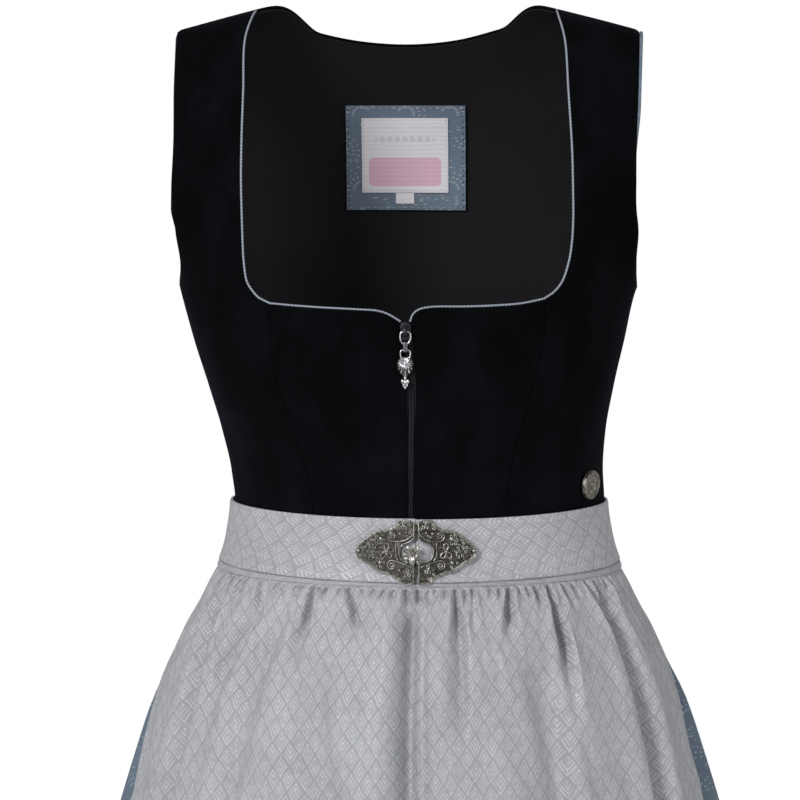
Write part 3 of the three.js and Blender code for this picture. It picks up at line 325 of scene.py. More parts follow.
class BodyForm:
    """The general figure that the bodice is cut for, in millimetres."""

    def __init__(self) -> None:
        self.width, self.front, self.back, self.centre, self.power = (
            Column(BODY, i) for i in range(1, 6)
        )

    def section_y(self, angle: Real, z: Real) -> Array:
        """Depth of a level section.

        Args:
            angle: radians from the front. z: height.

        Returns:
            y, negative at the front.
        """
        c = np.cos(angle)
        depth = np.where(c > 0, self.front(z), self.back(z))
        return -np.sign(c) * depth * np.abs(c) ** self.power(z)

    def shoulder_z(self, x: Real) -> Array:
        """Height of the shoulder line.

        Args:
            x: place across.

        Returns:
            Its height.
        """
        level = math.hypot(NECK_X, SHOULDER_ROUND)
        return SHOULDER_SLOPE * (level - np.hypot(x, SHOULDER_ROUND))

    def point(self, angle: Real, v: Real) -> Array:
        """A point of the form.

        Args:
            angle: radians from the front.
            v: 0 to 1 up the level sections, 1 to 2 over to the shoulder.

        Returns:
            Points, millimetres.
        """
        angle, v = np.broadcast_arrays(np.asarray(angle, float), np.asarray(v, float))
        z = lerp(LOW_Z, CHEST_Z, np.minimum(v, 1))
        x = self.width(z) * np.sin(angle)
        y = self.section_y(angle, z)
        across = (np.abs(x) - BUST_X) / BUST_ACROSS
        up = (z - BUST_Z) / BUST_UP
        push = np.where(np.cos(angle) > 0, BUST_PUSH * np.exp(-across**2 - up**2), 0)
        low = np.stack([x + self.centre(z), y - np.where(v <= 1, push, 0), z], -1)
        u = np.clip(v, 1, 2) - 1
        wide = self.width(CHEST_Z) * np.sin(angle)
        top = self.shoulder_z(wide)
        rise = top - CHEST_Z
        start = self.section_y(angle, CHEST_Z)
        slope = (start - self.section_y(angle, CHEST_Z - 6)) / 6
        k = ((1 - u) ** 3, 3 * u * (1 - u) ** 2, 3 * u * u * (1 - u), u**3)
        ys = k[0] * start + k[1] * (start + 0.5 * rise * slope) + k[2] * 0.5 * start
        zs = k[0] * CHEST_Z + k[1] * (CHEST_Z + 0.5 * rise) + (k[2] + k[3]) * top
        high = np.stack([wide, ys, zs], -1)
        return np.where((v <= 1)[..., None], low, high)

    def normal(self, angle: Real, v: Real) -> Array:
        """Outward normals of the form.

        Args:
            angle: radians. v: up the form.

        Returns:
            Unit vectors.
        """
        e = 2e-3
        vv = np.minimum(v, 2 - e)
        across = self.point(angle + e, vv) - self.point(angle - e, vv)
        up = self.point(angle, vv + e) - self.point(angle, vv - e)
        return unit(np.cross(across, up))

    def place(self, angle: Real, v: Real, out: Real = 0.0) -> Array:
        """A point at a distance from the form.

        Args:
            angle: radians. v: up the form. out: millimetres outward.

        Returns:
            Points, millimetres.
        """
        angle, v = np.asarray(angle, float), np.asarray(v, float)
        out = np.asarray(out, float)[..., None]
        return self.point(angle, v) + self.normal(angle, v) * out

    def up_at(self, angle: Real, z: Real) -> Array:
        """The form's v at a height.

        Args:
            angle: radians. z: heights.

        Returns:
            v, the same shape.
        """
        angle, z = np.broadcast_arrays(np.asarray(angle, float), np.asarray(z, float))
        low, high = np.ones(z.shape), np.full(z.shape, 2.0)
        for _ in range(34):
            mid = (low + high) / 2
            below = self.point(angle, mid)[..., 2] < z
            low, high = np.where(below, mid, low), np.where(below, high, mid)
        return np.where(z <= CHEST_Z, (z - LOW_Z) / (CHEST_Z - LOW_Z), (low + high) / 2)

    def front_at(self, x: Real, z: Real) -> tuple[Array, Array]:
        """The form's numbers at a place seen from the front.

        Args:
            x: across. z: height.

        Returns:
            (angle, v).
        """
        x, z = np.broadcast_arrays(np.asarray(x, float), np.asarray(z, float))
        wide = self.width(np.minimum(z, CHEST_Z))
        angle = np.arcsin(np.clip((x - self.centre(np.minimum(z, CHEST_Z))) / wide, -1, 1))
        return angle, self.up_at(angle, z)

    def back_at(self, x: Real, z: Real) -> tuple[Array, Array]:
        """The same on the back.

        Args:
            x: across. z: height.

        Returns:
            (angle, v).
        """
        x, z = np.broadcast_arrays(np.asarray(x, float), np.asarray(z, float))
        wide = self.width(np.minimum(z, CHEST_Z))
        angle = math.pi - np.arcsin((x - self.centre(np.minimum(z, CHEST_Z))) / wide)
        return angle, self.up_at(angle, z)


BODY_FORM = BodyForm()


def smooth_line(points: Sequence[Sequence[float]], n: int, power: float = 1.0) -> Array:
    """Places along a centripetal curve through flat points.

    Args:
        points: the curve's points. n: number of steps. power: over 1 is closer at the start.

    Returns:
        (n + 1, 2) places.
    """
    p = np.asarray(points, float)
    p = np.vstack([2 * p[0] - p[1], p, 2 * p[-1] - p[-2]])
    dense = []
    for a, b, c, d in zip(p[:-3], p[1:-2], p[2:-1], p[3:]):
        t0 = 0.0
        t1 = t0 + np.linalg.norm(b - a) ** 0.5
        t2 = t1 + np.linalg.norm(c - b) ** 0.5
        t3 = t2 + np.linalg.norm(d - c) ** 0.5
        t = np.linspace(t1, t2, 40)[:, None]
        a1 = (t1 - t) / (t1 - t0) * a + (t - t0) / (t1 - t0) * b
        a2 = (t2 - t) / (t2 - t1) * b + (t - t1) / (t2 - t1) * c
        a3 = (t3 - t) / (t3 - t2) * c + (t - t2) / (t3 - t2) * d
        b1 = (t2 - t) / (t2 - t0) * a1 + (t - t0) / (t2 - t0) * a2
        b2 = (t3 - t) / (t3 - t1) * a2 + (t - t1) / (t3 - t1) * a3
        dense.append((t2 - t) / (t2 - t1) * b1 + (t - t1) / (t2 - t1) * b2)
    line = np.vstack(dense)
    keep = np.concatenate([[True], np.linalg.norm(np.diff(line, axis=0), axis=1) > 1e-9])
    line = line[keep]
    run = np.concatenate([[0], np.cumsum(np.linalg.norm(np.diff(line, axis=0), axis=1))])
    want = run[-1] * (np.arange(n + 1) / n) ** power
    return np.stack([np.interp(want, run, line[:, k]) for k in (0, 1)], 1)


def srgb(code: str, alpha: float = 1.0) -> tuple[float, float, float, float]:
    """A hex colour as Blender's linear colour.

    Args:
        code: six hex digits. alpha: opacity.

    Returns:
        Linear red, green, blue, alpha.
    """
    parts = [int(code[i:i + 2], 16) / 255 for i in (0, 2, 4)]
    linear = [c / 12.92 if c <= 0.04045 else ((c + 0.055) / 1.055) ** 2.4 for c in parts]
    return (*linear, alpha)


@dataclass(frozen=True)
class Finish:
    """The constant values of a shader."""

    name: str
    colour: str
    roughness: float
    metallic: float = 0.0
    sheen: float = 0.0
    sheen_colour: str = "ffffff"
    sheen_roughness: float = 0.5
    specular: float = 0.5


# What a short name adds: the node's type, one setting and its value. Any other name is a math node's.
KINDS = {
    "step": ("MapRange", "interpolation_type", "SMOOTHSTEP"),
    "mix": ("Mix", "data_type", "RGBA"),
    "noise": ("TexNoise", "noise_dimensions", "3D"),
    "cells": ("TexVoronoi", "feature", "F1"),
    "scaled": ("VectorMath", "operation", "MULTIPLY"),
    "parts": ("SeparateXYZ", "label", ""),
    "where": ("TexCoord", "from_instancer", False),
    "cloth": ("UVMap", "uv_map", "cloth"),
    "bump": ("Bump", "invert", False),
}
OBJECT_OUT = 3
BUMP_FILTER = 0.1


def add_node(tree: bpy.types.NodeTree, kind: str, inputs: dict | Sequence = (), **settings) -> bpy.types.Node:
    """Adds a node with its settings and links.

    Args:
        tree: where it goes. kind: Blender's node type.
        inputs: sockets or constants, by key or in the order of its inputs. settings: its properties.

    Returns:
        The node.
    """
    made = tree.nodes.new(kind)
    for key, value in settings.items():
        setattr(made, key, value)
    if not isinstance(inputs, dict):
        inputs = dict(zip([k for k, socket in enumerate(made.inputs) if socket.enabled], inputs))
    for key, value in inputs.items():
        if isinstance(value, Socket):
            tree.links.new(value, made.inputs[key])
        else:
            made.inputs[key].default_value = value
    return made


class Graph:
    """A material whose nodes are made by short calls."""

    def __init__(self, finish: Finish) -> None:
        self.material = bpy.data.materials.new(finish.name)
        self.material.use_nodes = True
        self.material.diffuse_color = srgb(finish.colour)
        self.tree = self.material.node_tree
        self.tree.nodes.clear()
        self.constants = {
            "Base Color": srgb(finish.colour), "Roughness": finish.roughness, "Metallic": finish.metallic,
            "Sheen Weight": finish.sheen, "Sheen Tint": srgb(finish.sheen_colour),
            "Sheen Roughness": finish.sheen_roughness, "Specular IOR Level": finish.specular,
        }

    def add(self, kind: str, *values: object, out: int = 0) -> Socket:
        """Adds a node.

        Args:
            kind: a name in KINDS or a math operation. values: its inputs in order. out: which output.

        Returns:
            The output's socket.
        """
        word, key, value = KINDS.get(kind, ("Math", "operation", kind))
        made = add_node(self.tree, "ShaderNode" + word, values, **{key: value})
        return [socket for socket in made.outputs if socket.enabled][out]

    def where(self) -> Socket:
        """The object's own coordinates in metres."""
        return self.add("where", out=OBJECT_OUT)

    def cloth(self) -> tuple[Socket, Socket, Socket]:
        """The piece's own map, whose unit is a metre of cloth, as (u, v, vector)."""
        uv = self.add("cloth")
        return self.add("parts", uv), self.add("parts", uv, out=1), uv

    def finished(self, colour: Socket, relief: Socket | None = None, depth: float = 0.0,
                 share: float = 1.0, roughness: Socket | None = None) -> Material:
        """Sets and links the shader.

        Args:
            colour: its colour. relief: height for its bump. depth: metres. share: the bump's strength.
            roughness: in place of the finish's own.

        Returns:
            The material.
        """
        more = {"Base Color": colour}
        if relief is not None:
            more["Normal"] = self.add("bump", share, depth, BUMP_FILTER, relief)
        if roughness is not None:
            more["Roughness"] = roughness
        shader = add_node(self.tree, "ShaderNodeBsdfPrincipled", {**self.constants, **more})
        add_node(self.tree, "ShaderNodeOutputMaterial", {"Surface": shader.outputs["BSDF"]})
        return self.material


class Weave(Enum):
    """Which way the jacquard's leaves point on a piece."""

    UPRIGHT = 0
    TURNED = 1


class Held(Enum):
    """How a piece of cloth is carried."""

    STRETCHED = "stretched"
    GATHERED = "gathered"
    LAID = "laid"


# Woven and metal finishes, each from what the real one is; SEAM_SHADE alone is painted shade, a grey line
# along the band's seam
VELVET_PILE = Finish("velvet_cut_pile", "08090c", 0.96, sheen=0.05, sheen_colour="6f86c4",
                     sheen_roughness=0.3, specular=0.05)
LINING_TWILL = Finish("lining_cotton_twill", "1b1a1d", 0.92, specular=0.15)
SKIRT_PRINT = Finish("skirt_printed_cotton", "6f7e8e", 0.85, specular=0.2)
BINDING_PRINT = Finish("binding_printed_cotton", "6f7e8e", 0.85, specular=0.2)
APRON_JACQUARD = Finish("apron_satin_jacquard", "9c9fa8", 0.5, sheen=0.1, specular=0.35)
BAND_JACQUARD = Finish("waistband_satin_jacquard", "a2a4ad", 0.5, sheen=0.1, specular=0.35)
PIPING_SATIN = Finish("piping_satin_cord", "8d95a2", 0.45, specular=0.4)
LABEL_SATIN = Finish("label_woven_satin", "d6d3d9", 0.6, specular=0.3)
ZIP_TAPE = Finish("zip_tape_polyester", "0d0e12", 0.8, specular=0.2)
ZIP_COIL = Finish("zip_coil_nylon", "23262e", 0.45, specular=0.4)
SLIDER_LACQUER = Finish("slider_lacquered_zinc", "24252d", 0.33, metallic=0.6)
LINK_NICKEL = Finish("link_nickel_cast", "7d7d87", 0.36, metallic=0.9)
BADGE_TIN = Finish("badge_antiqued_tin", "8c8a80", 0.42, metallic=0.95)
SILVER = Finish("silver_plated_cast", "c3c4c8", 0.27, metallic=1.0)
ANTIQUE = Finish("silver_antiqued_wire", "a5a4a3", 0.34, metallic=1.0)
ANTIQUE_DARK = Finish("silver_blackened_plate", "3a3a3c", 0.5, metallic=1.0)
THREAD_DARK = Finish("thread_dark_cotton", "1b1d24", 0.8)
THREAD_PALE = Finish("thread_pale_polyester", "b9bac2", 0.6)
# Painted shade: the grey of the line along the band's seam
SEAM_SHADE = Finish("seam_painted_shade", "95979f", 0.85)
FLOOR_PAPER = Finish("floor_white_paper", "f4f4f4", 0.9, specular=0.1)


def near_whole(g: Graph, value: Socket) -> Socket:
    """Distance of a number from the nearest whole one.

    Args:
        g: the material. value: socket.

    Returns:
        The distance's socket, 0 to 0.5.
    """
    return g.add("ABSOLUTE", g.add("SUBTRACT", value, g.add("ROUND", value)))


def velvet() -> Material:
    """Cut pile: near black face on, bluer where it turns away, mottled where it was stroked, painted paler
    low down as sheen.
    """
    g = Graph(VELVET_PILE)
    place = g.where()
    stroke = g.add("noise", g.add("scaled", place, (1, 1, 0.55)), 34, 3, 0.6)
    pile = g.add("noise", place, 900, 2, 0.7)
    # Paler towards the waist: painted sheen on the pile of the lower bodice
    low = g.add("step", g.add("parts", place, out=2), -0.20, -0.33)
    tone = g.add("ADD", g.add("MULTIPLY", g.add("step", stroke, 0.38, 0.72), 0.55),
                  g.add("MULTIPLY", pile, 0.35))
    tone = g.add("ADD", tone, g.add("MULTIPLY", low, 0.35))
    colour = g.add("mix", tone, srgb("030305"), srgb("0e0f13"))
    return g.finished(colour, g.add("ADD", g.add("MULTIPLY", pile, 0.5), stroke), 0.0006, 0.6)


def lining() -> Material:
    """Fine twill: matte charcoal with a slanting rib, drawn at 0.9 mm so that it shows."""
    g = Graph(LINING_TWILL)
    u, v, uv = g.cloth()
    rib = g.add("SINE", g.add("MULTIPLY", g.add("ADD", u, v), 2 * math.pi / 0.0009))
    fade = g.add("noise", g.where(), 14, 3)
    tone = g.add("ADD", g.add("MULTIPLY", rib, 0.14), fade)
    return g.finished(g.add("mix", tone, srgb("141316"), srgb("232125")), rib, 0.00012, 0.6)


def printed(finish: Finish, size: float) -> Material:
    """Cotton print: fans of small pale dashes and short loose dashes on grey blue.

    Args:
        finish: the cloth's constants. size: width of a fan's cell in metres.

    Returns:
        The material.
    """
    g = Graph(finish)
    u, v, uv = g.cloth()
    p = g.add("DIVIDE", u, size)
    q = g.add("DIVIDE", v, size * 0.86)
    row = g.add("FLOOR", q)
    shifted = g.add("ADD", p, g.add("MULTIPLY", g.add("MODULO", row, 2.0), 0.5))
    x = g.add("SUBTRACT", g.add("FRACT", shifted), 0.5)
    y = g.add("SUBTRACT", g.add("FRACT", q), 0.18)
    turn = g.add("MULTIPLY", g.add("SINE", g.add("ADD", g.add("MULTIPLY", row, 2.4),
                                                g.add("MULTIPLY", g.add("FLOOR", shifted), 1.7))), 0.5)
    angle = g.add("ADD", g.add("ARCTAN2", x, y), turn)
    far = g.add("SQRT", g.add("ADD", g.add("MULTIPLY", x, x), g.add("MULTIPLY", y, y)))
    ray = near_whole(g, g.add("MULTIPLY", angle, 3.0))
    thin = g.add("MULTIPLY", ray, far)
    on_ray = g.add("step", thin, 0.052, 0.036)
    beat = g.add("FRACT", g.add("MULTIPLY", far, 8.0))
    dash = g.add("MULTIPLY", on_ray, g.add("step", near_whole(g, beat), 0.22, 0.34))
    fan = g.add("MULTIPLY", g.add("step", far, 0.10, 0.14), g.add("step", far, 0.48, 0.44))
    fan = g.add("MULTIPLY", fan, g.add("step", g.add("ABSOLUTE", angle), 1.65, 1.5))
    fans = g.add("MULTIPLY", dash, fan)
    spots = g.add("cells", g.add("scaled", uv, (170, 560, 1)), 1.0)
    loose = g.add("MULTIPLY", g.add("step", spots, 0.30, 0.20), g.add("step", far, 0.46, 0.52))
    mark = g.add("MAXIMUM", fans, g.add("MULTIPLY", loose, 0.75))
    weave = g.add("MULTIPLY", g.add("SINE", g.add("MULTIPLY", u, 2 * math.pi / 0.0011)),
                   g.add("SINE", g.add("MULTIPLY", v, 2 * math.pi / 0.0011)))
    worn = g.add("noise", g.where(), 22, 4, 0.6)
    ground = g.add("mix", worn, srgb("5c6b7c"), srgb("7d8b9a"))
    colour = g.add("mix", g.add("MULTIPLY", mark, 0.55), ground, srgb("c6ced6"))
    return g.finished(colour, weave, 0.00012, 0.7)


LEAF_WIDE = 0.0102
LEAF_TALL = 0.0155
VEINS = 27.5


def jacquard(finish: Finish, weave: Weave, dark: str, pale: str) -> Material:
    """Satin jacquard: pointed leaves with slanting veins, outlined in the duller ground weave.

    Args:
        finish: the cloth's constants. weave: the leaves' direction. dark, pale: its two threads.

    Returns:
        The material.
    """
    g = Graph(finish)
    u, v, uv = g.cloth()
    across, along = (u, v) if weave is Weave.UPRIGHT else (v, u)
    drift = g.add("MULTIPLY", g.add("SUBTRACT", g.add("noise", uv, 42, 1), 0.5), 0.5)
    p = g.add("ADD", g.add("DIVIDE", across, LEAF_WIDE), drift)
    q = g.add("DIVIDE", along, LEAF_TALL)
    a = g.add("ADD", p, q)
    b = g.add("SUBTRACT", p, q)
    outline = g.add("MINIMUM", near_whole(g, a), near_whole(g, b))
    line = g.add("step", outline, 0.075, 0.02)
    fa = g.add("FRACT", a)
    fb = g.add("FRACT", b)
    x = g.add("SUBTRACT", g.add("MULTIPLY", g.add("ADD", fa, fb), 0.5), 0.5)
    y = g.add("MULTIPLY", g.add("SUBTRACT", fa, fb), 0.5)
    side = g.add("ABSOLUTE", x)
    vein = g.add("SINE", g.add("MULTIPLY", g.add("SUBTRACT", y, g.add("MULTIPLY", side, 1.35)), VEINS))
    inside = g.add("step", outline, 0.03, 0.10)
    veins = g.add("MULTIPLY", g.add("step", vein, -0.25, 0.75), inside)
    rib = g.add("MULTIPLY", g.add("step", side, 0.034, 0.012), inside)
    gap = g.add("MULTIPLY", g.add("step", vein, -0.3, -0.9), inside)
    pale_mark = g.add("MAXIMUM", veins, g.add("MULTIPLY", rib, 0.6))
    worn = g.add("noise", g.where(), 30, 3, 0.55)
    patchy = g.add("noise", g.where(), 210, 2, 0.6)
    thread = g.add("SINE", g.add("MULTIPLY", across, 2 * math.pi / 0.0008))
    shade = g.add("ADD", g.add("MULTIPLY", g.add("SUBTRACT", worn, 0.5), 0.45), 0.40)
    veined = g.add("MULTIPLY", pale_mark, g.add("step", patchy, 0.25, 0.6))
    shade = g.add("ADD", shade, g.add("MULTIPLY", veined, 0.50))
    shade = g.add("SUBTRACT", shade, g.add("MULTIPLY", gap, 0.10))
    faint = g.add("MULTIPLY", line, g.add("step", patchy, 0.72, 0.38))
    shade = g.add("SUBTRACT", shade, g.add("MULTIPLY", faint, 0.20))
    shade = g.add("ADD", shade, g.add("MULTIPLY", thread, 0.04))
    height = g.add("SUBTRACT", g.add("MULTIPLY", pale_mark, 0.8), g.add("MULTIPLY", line, 0.3))
    colour = g.add("mix", shade, srgb(dark), srgb(pale))
    relief = g.add("ADD", height, g.add("MULTIPLY", thread, 0.06))
    rough = g.add("SUBTRACT", 0.60, g.add("MULTIPLY", pale_mark, 0.2))
    return g.finished(colour, relief, 0.0002, 0.7, rough)


def cord_satin() -> Material:
    """Satin wound cord: short slanting ribs 1.1 mm apart along the cord."""
    g = Graph(PIPING_SATIN)
    u, v, uv = g.cloth()
    rib = g.add("SINE", g.add("MULTIPLY", g.add("ADD", v, g.add("MULTIPLY", u, 0.6)),
                                2 * math.pi / 0.0022))
    tone = g.add("step", rib, -0.9, 0.9)
    return g.finished(g.add("mix", tone, srgb("7c8490"), srgb("a3aab6")), rib, 0.0001, 0.5)


def label_weave(panel: bool) -> Material:
    """Woven satin label: white, with a bare rounded pink field where the label has one.

    Args:
        panel: whether it has the field.

    Returns:
        The material.
    """
    g = Graph(Finish("label_woven_" + ("panel" if panel else "plain"), LABEL_SATIN.colour, 0.6))
    u, v, uv = g.cloth()
    rib = g.add("SINE", g.add("MULTIPLY", v, 2 * math.pi / 0.0009))
    base = g.add("mix", g.add("ADD", 0.5, g.add("MULTIPLY", rib, 0.2)), srgb("dcd9df"), srgb("eeebf0"))
    if panel:
        down = g.add("ADD", v, 0.0112)
        dx = g.add("MAXIMUM", g.add("SUBTRACT", g.add("ABSOLUTE", u), 0.0215), 0.0)
        dy = g.add("MAXIMUM", g.add("SUBTRACT", g.add("ABSOLUTE", down), 0.0067), 0.0)
        far = g.add("SQRT", g.add("ADD", g.add("MULTIPLY", dx, dx), g.add("MULTIPLY", dy, dy)))
        field = g.add("step", far, 0.0034, 0.0030)
        lozenge = g.add("ADD", near_whole(g, g.add("DIVIDE", u, 0.0056)),
                         near_whole(g, g.add("DIVIDE", down, 0.0056)))
        sprig = g.add("MULTIPLY", g.add("step", lozenge, 0.15, 0.09), g.add("step", far, 0.0012, 0.0008))
        base = g.add("mix", field, base, srgb("deb6ca"))
        base = g.add("mix", g.add("MULTIPLY", sprig, 0.4), base, srgb("efe6ec"))
        rise = g.add("SUBTRACT", v, 0.0115)
        row = g.add("MULTIPLY", g.add("step", g.add("ABSOLUTE", rise), 0.0024, 0.0020),
                     g.add("step", g.add("ABSOLUTE", u), 0.0205, 0.0200))
        knot = g.add("ADD", near_whole(g, g.add("DIVIDE", u, 0.0052)),
                      g.add("ABSOLUTE", g.add("DIVIDE", rise, 0.0052)))
        outline = g.add("ABSOLUTE", g.add("SUBTRACT", knot, 0.30))
        chain = g.add("MULTIPLY", g.add("step", outline, 0.09, 0.05), row)
        base = g.add("mix", g.add("MULTIPLY", chain, 0.55), base, srgb("6d6a74"))
    return g.finished(base, rib, 0.00012, 0.6)


def metal(finish: Finish, dark: str, pale: str, scale: float) -> Material:
    """Cast or drawn metal with faint tarnish.

    Args:
        finish: constants. dark, pale: tarnished and clean colour. scale: patches per metre.

    Returns:
        The material.
    """
    g = Graph(finish)
    place = g.where()
    patch = g.add("noise", place, scale, 4, 0.6)
    colour = g.add("mix", g.add("step", patch, 0.3, 0.66), srgb(dark), srgb(pale))
    relief = g.add("noise", place, scale * 6, 2)
    rough = g.add("ADD", finish.roughness - 0.08, g.add("MULTIPLY", patch, 0.2))
    return g.finished(colour, relief, 0.00006, 0.5, rough)


def thread(finish: Finish) -> Material:
    """Twisted sewing thread, also used for the grey line of painted shade along the band's seam.

    Args:
        finish: constants.

    Returns:
        The material.
    """
    g = Graph(finish)
    twist = g.add("noise", g.where(), 2600, 1)
    darker = "".join(f"{int(int(finish.colour[i:i + 2], 16) * 0.6):02x}" for i in (0, 2, 4))
    return g.finished(g.add("mix", twist, srgb(darker), srgb(finish.colour)), twist, 0.0001, 0.5)


def paper() -> Material:
    """White studio paper with a barely seen grain."""
    g = Graph(FLOOR_PAPER)
    grain = g.add("noise", g.where(), 60, 2)
    return g.finished(g.add("mix", grain, srgb("f0f0f0"), srgb("f8f8f8")))


class Wardrobe:
    """Every material, made once."""

    def __init__(self) -> None:
        self.velvet = velvet()
        self.lining = lining()
        self.skirt = printed(SKIRT_PRINT, 0.030)
        self.binding = printed(BINDING_PRINT, 0.012)
        self.apron = jacquard(APRON_JACQUARD, Weave.UPRIGHT, "8e9095", "cacbd0")
        self.band = jacquard(BAND_JACQUARD, Weave.TURNED, "8f9196", "cccdd3")
        self.piping = cord_satin()
        self.label = label_weave(True)
        self.tab = label_weave(False)
        self.tape = thread(ZIP_TAPE)
        self.coil = thread(ZIP_COIL)
        self.slider = metal(SLIDER_LACQUER, "1b1c22", "32343e", 300)
        self.link = metal(LINK_NICKEL, "66666f", "94949e", 300)
        self.badge = metal(BADGE_TIN, "55534c", "a29f94", 500)
        self.silver = metal(SILVER, "a5a6aa", "e6e7ea", 420)
        self.antique = metal(ANTIQUE, "72706a", "c4c2bb", 520)
        self.plate = metal(ANTIQUE_DARK, "3b3935", "5c5953", 400)
        self.thread_dark = thread(THREAD_DARK)
        self.thread_pale = thread(THREAD_PALE)
        # a grey line painted as the shade of the band's seam
        self.seam = thread(SEAM_SHADE)
        self.floor = paper()


class Mesh:
    """Points, faces and a cloth map gathered for one object, in millimetres."""

    def __init__(self, lay: "Joiner | None" = None) -> None:
        self.lay = lay
        self.points: list[Array] = []
        self.faces: list[tuple[int, ...]] = []
        self.maps: list[Array] = []
        self.count = 0

    def add(self, points: Array, faces: Iterable[Sequence[int]], uv: Array | None = None) -> None:
        """Adds points and faces.

        Args:
            points: (n, 3) millimetres. faces: their indices, a triangle's may be doubled.
            uv: (n, 2) metres of cloth.
        """
        points = np.asarray(points, float).reshape(-1, 3)
        self.points.append(self.lay(points) if self.lay else points)
        for f in np.asarray(faces).tolist() if isinstance(faces, Array) else faces:
            self.faces.append(tuple(int(i) + self.count for k, i in enumerate(f) if i != f[k - 1]))
        self.maps.append(np.zeros((len(points), 2)) if uv is None else np.asarray(uv, float).reshape(-1, 2))
        self.count += len(points)

    def piece(self, name: str, material: Material, slot: str, node: str = "",
              body: str = "dress", sharp: float = 50.0) -> Piece:
        """Makes the object and hangs it on its body.

        Args:
            name: the piece's name. material: its finish. slot: not used.
            node: the solid that it stands for. body: what it rides. sharp: crease angle in degrees.

        Returns:
            The object, its place in its mesh.
        """
        mesh = bpy.data.meshes.new(name)
        points = np.vstack(self.points) * MM
        mesh.from_pydata(points.tolist(), [], self.faces)
        maps = np.vstack(self.maps)
        layer = mesh.uv_layers.new(name="cloth")
        corner = np.empty(len(mesh.loops), np.int32)
        mesh.loops.foreach_get("vertex_index", corner)
        layer.data.foreach_set("uv", maps[corner].astype(np.float32).ravel())
        mesh.polygons.foreach_set("use_smooth", [True] * len(mesh.polygons))
        mesh.set_sharp_from_angle(angle=sharp * RAD)
        mesh.materials.append(material)
        mesh.update()
        made = bpy.data.objects.new(name, mesh)
        bpy.context.scene.collection.objects.link(made)
        carry(made, node, body)
        return made


def carry(piece: Piece, node: str = "", body: str = "dress") -> None:
    """Lets a piece ride its body and hides the solid that it stands for.

    Args:
        piece: the object. node: the solid's name, or none. body: what it rides.
    """
    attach(piece, body)
    if node:
        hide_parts(node)


def outward(points: Array, faces: Array) -> Array:
    """Turns the faces of a closed shape so that they point outwards.

    Args:
        points: (n, 3). faces: (m, 3 or 4) indices.

    Returns:
        The faces.
    """
    a, b, c = points[faces[:, 0]], points[faces[:, 1]], points[faces[:, 2]]
    total = np.einsum("ij,ij->", a, np.cross(b, c))
    if faces.shape[1] == 4:
        total += np.einsum("ij,ij->", a, np.cross(c, points[faces[:, 3]]))
    return faces[:, ::-1] if total < 0 else faces


def wall(outer: Array, inner: Array, uv: Array) -> tuple[Array, Array, Array]:
    """A closed wall between two grids.

    Args:
        outer, inner: (rows, columns, 3). uv: (rows, columns, 2).

    Returns:
        points, quads, uv.
    """
    rows, cols = outer.shape[:2]
    n = rows * cols
    ids = np.arange(n).reshape(rows, cols)
    a, b, c, d = ids[:-1, :-1], ids[:-1, 1:], ids[1:, 1:], ids[1:, :-1]
    face = np.stack([a, b, c, d], -1).reshape(-1, 4)
    back = np.stack([a, d, c, b], -1).reshape(-1, 4) + n
    rim = [
        np.stack([ids[0, :-1], ids[0, :-1] + n, ids[0, 1:] + n, ids[0, 1:]], -1),
        np.stack([ids[-1, :-1], ids[-1, 1:], ids[-1, 1:] + n, ids[-1, :-1] + n], -1),
        np.stack([ids[:-1, 0], ids[1:, 0], ids[1:, 0] + n, ids[:-1, 0] + n], -1),
        np.stack([ids[:-1, -1], ids[:-1, -1] + n, ids[1:, -1] + n, ids[1:, -1]], -1),
    ]
    quads = np.vstack([face, back, *rim])
    points = np.vstack([outer.reshape(-1, 3), inner.reshape(-1, 3)])
    maps = np.vstack([uv.reshape(-1, 2)] * 2)
    return points, outward(points, quads), maps


def arc_map(grid: Array, middle: float = 0.5) -> Array:
    """A cloth map from lengths along the grid.

    Args:
        grid: (rows, columns, 3) millimetres. middle: which share of the columns is u = 0.

    Returns:
        (rows, columns, 2) in metres.
    """
    rows, cols = grid.shape[:2]
    step_u = np.linalg.norm(np.diff(grid, axis=1), axis=-1)
    u = np.concatenate([np.zeros((rows, 1)), np.cumsum(step_u, 1)], 1)
    at = int(middle * (cols - 1))
    u = u - u[:, at:at + 1]
    step_v = np.linalg.norm(np.diff(grid[:, at], axis=0), axis=-1)
    v = np.concatenate([[0], np.cumsum(step_v)])
    return np.stack([u, np.broadcast_to(v[:, None], u.shape)], -1) * MM


def grid_area(grid: Array) -> float:
    """Area of a grid in square metres.

    Args:
        grid: (rows, columns, 3) millimetres.

    Returns:
        Its area.
    """
    a, b, c, d = grid[:-1, :-1], grid[:-1, 1:], grid[1:, 1:], grid[1:, :-1]
    first = np.linalg.norm(np.cross(b - a, c - a), axis=-1).sum() / 2
    second = np.linalg.norm(np.cross(c - a, d - a), axis=-1).sum() / 2
    return float(first + second) * 1e-6


def declare(piece: Piece, grid: Array, held: Held, rests: Sequence[str]) -> None:
    """States the flat cut of a piece of cloth from its own lengths.

    Args:
        piece: the cloth. grid: its face in millimetres. held: not used.
        rests: not used.
    """
    wide = np.linalg.norm(np.diff(grid, axis=1), axis=-1).sum(1).max() * MM
    tall = np.linalg.norm(np.diff(grid, axis=0), axis=-1).sum(0).max() * MM
    area = min(grid_area(grid), wide * tall)
    list(rests)
    log.info("%s cut %.0f x %.0f mm, %.4f m2", piece.name, wide * 1000, tall * 1000, area)


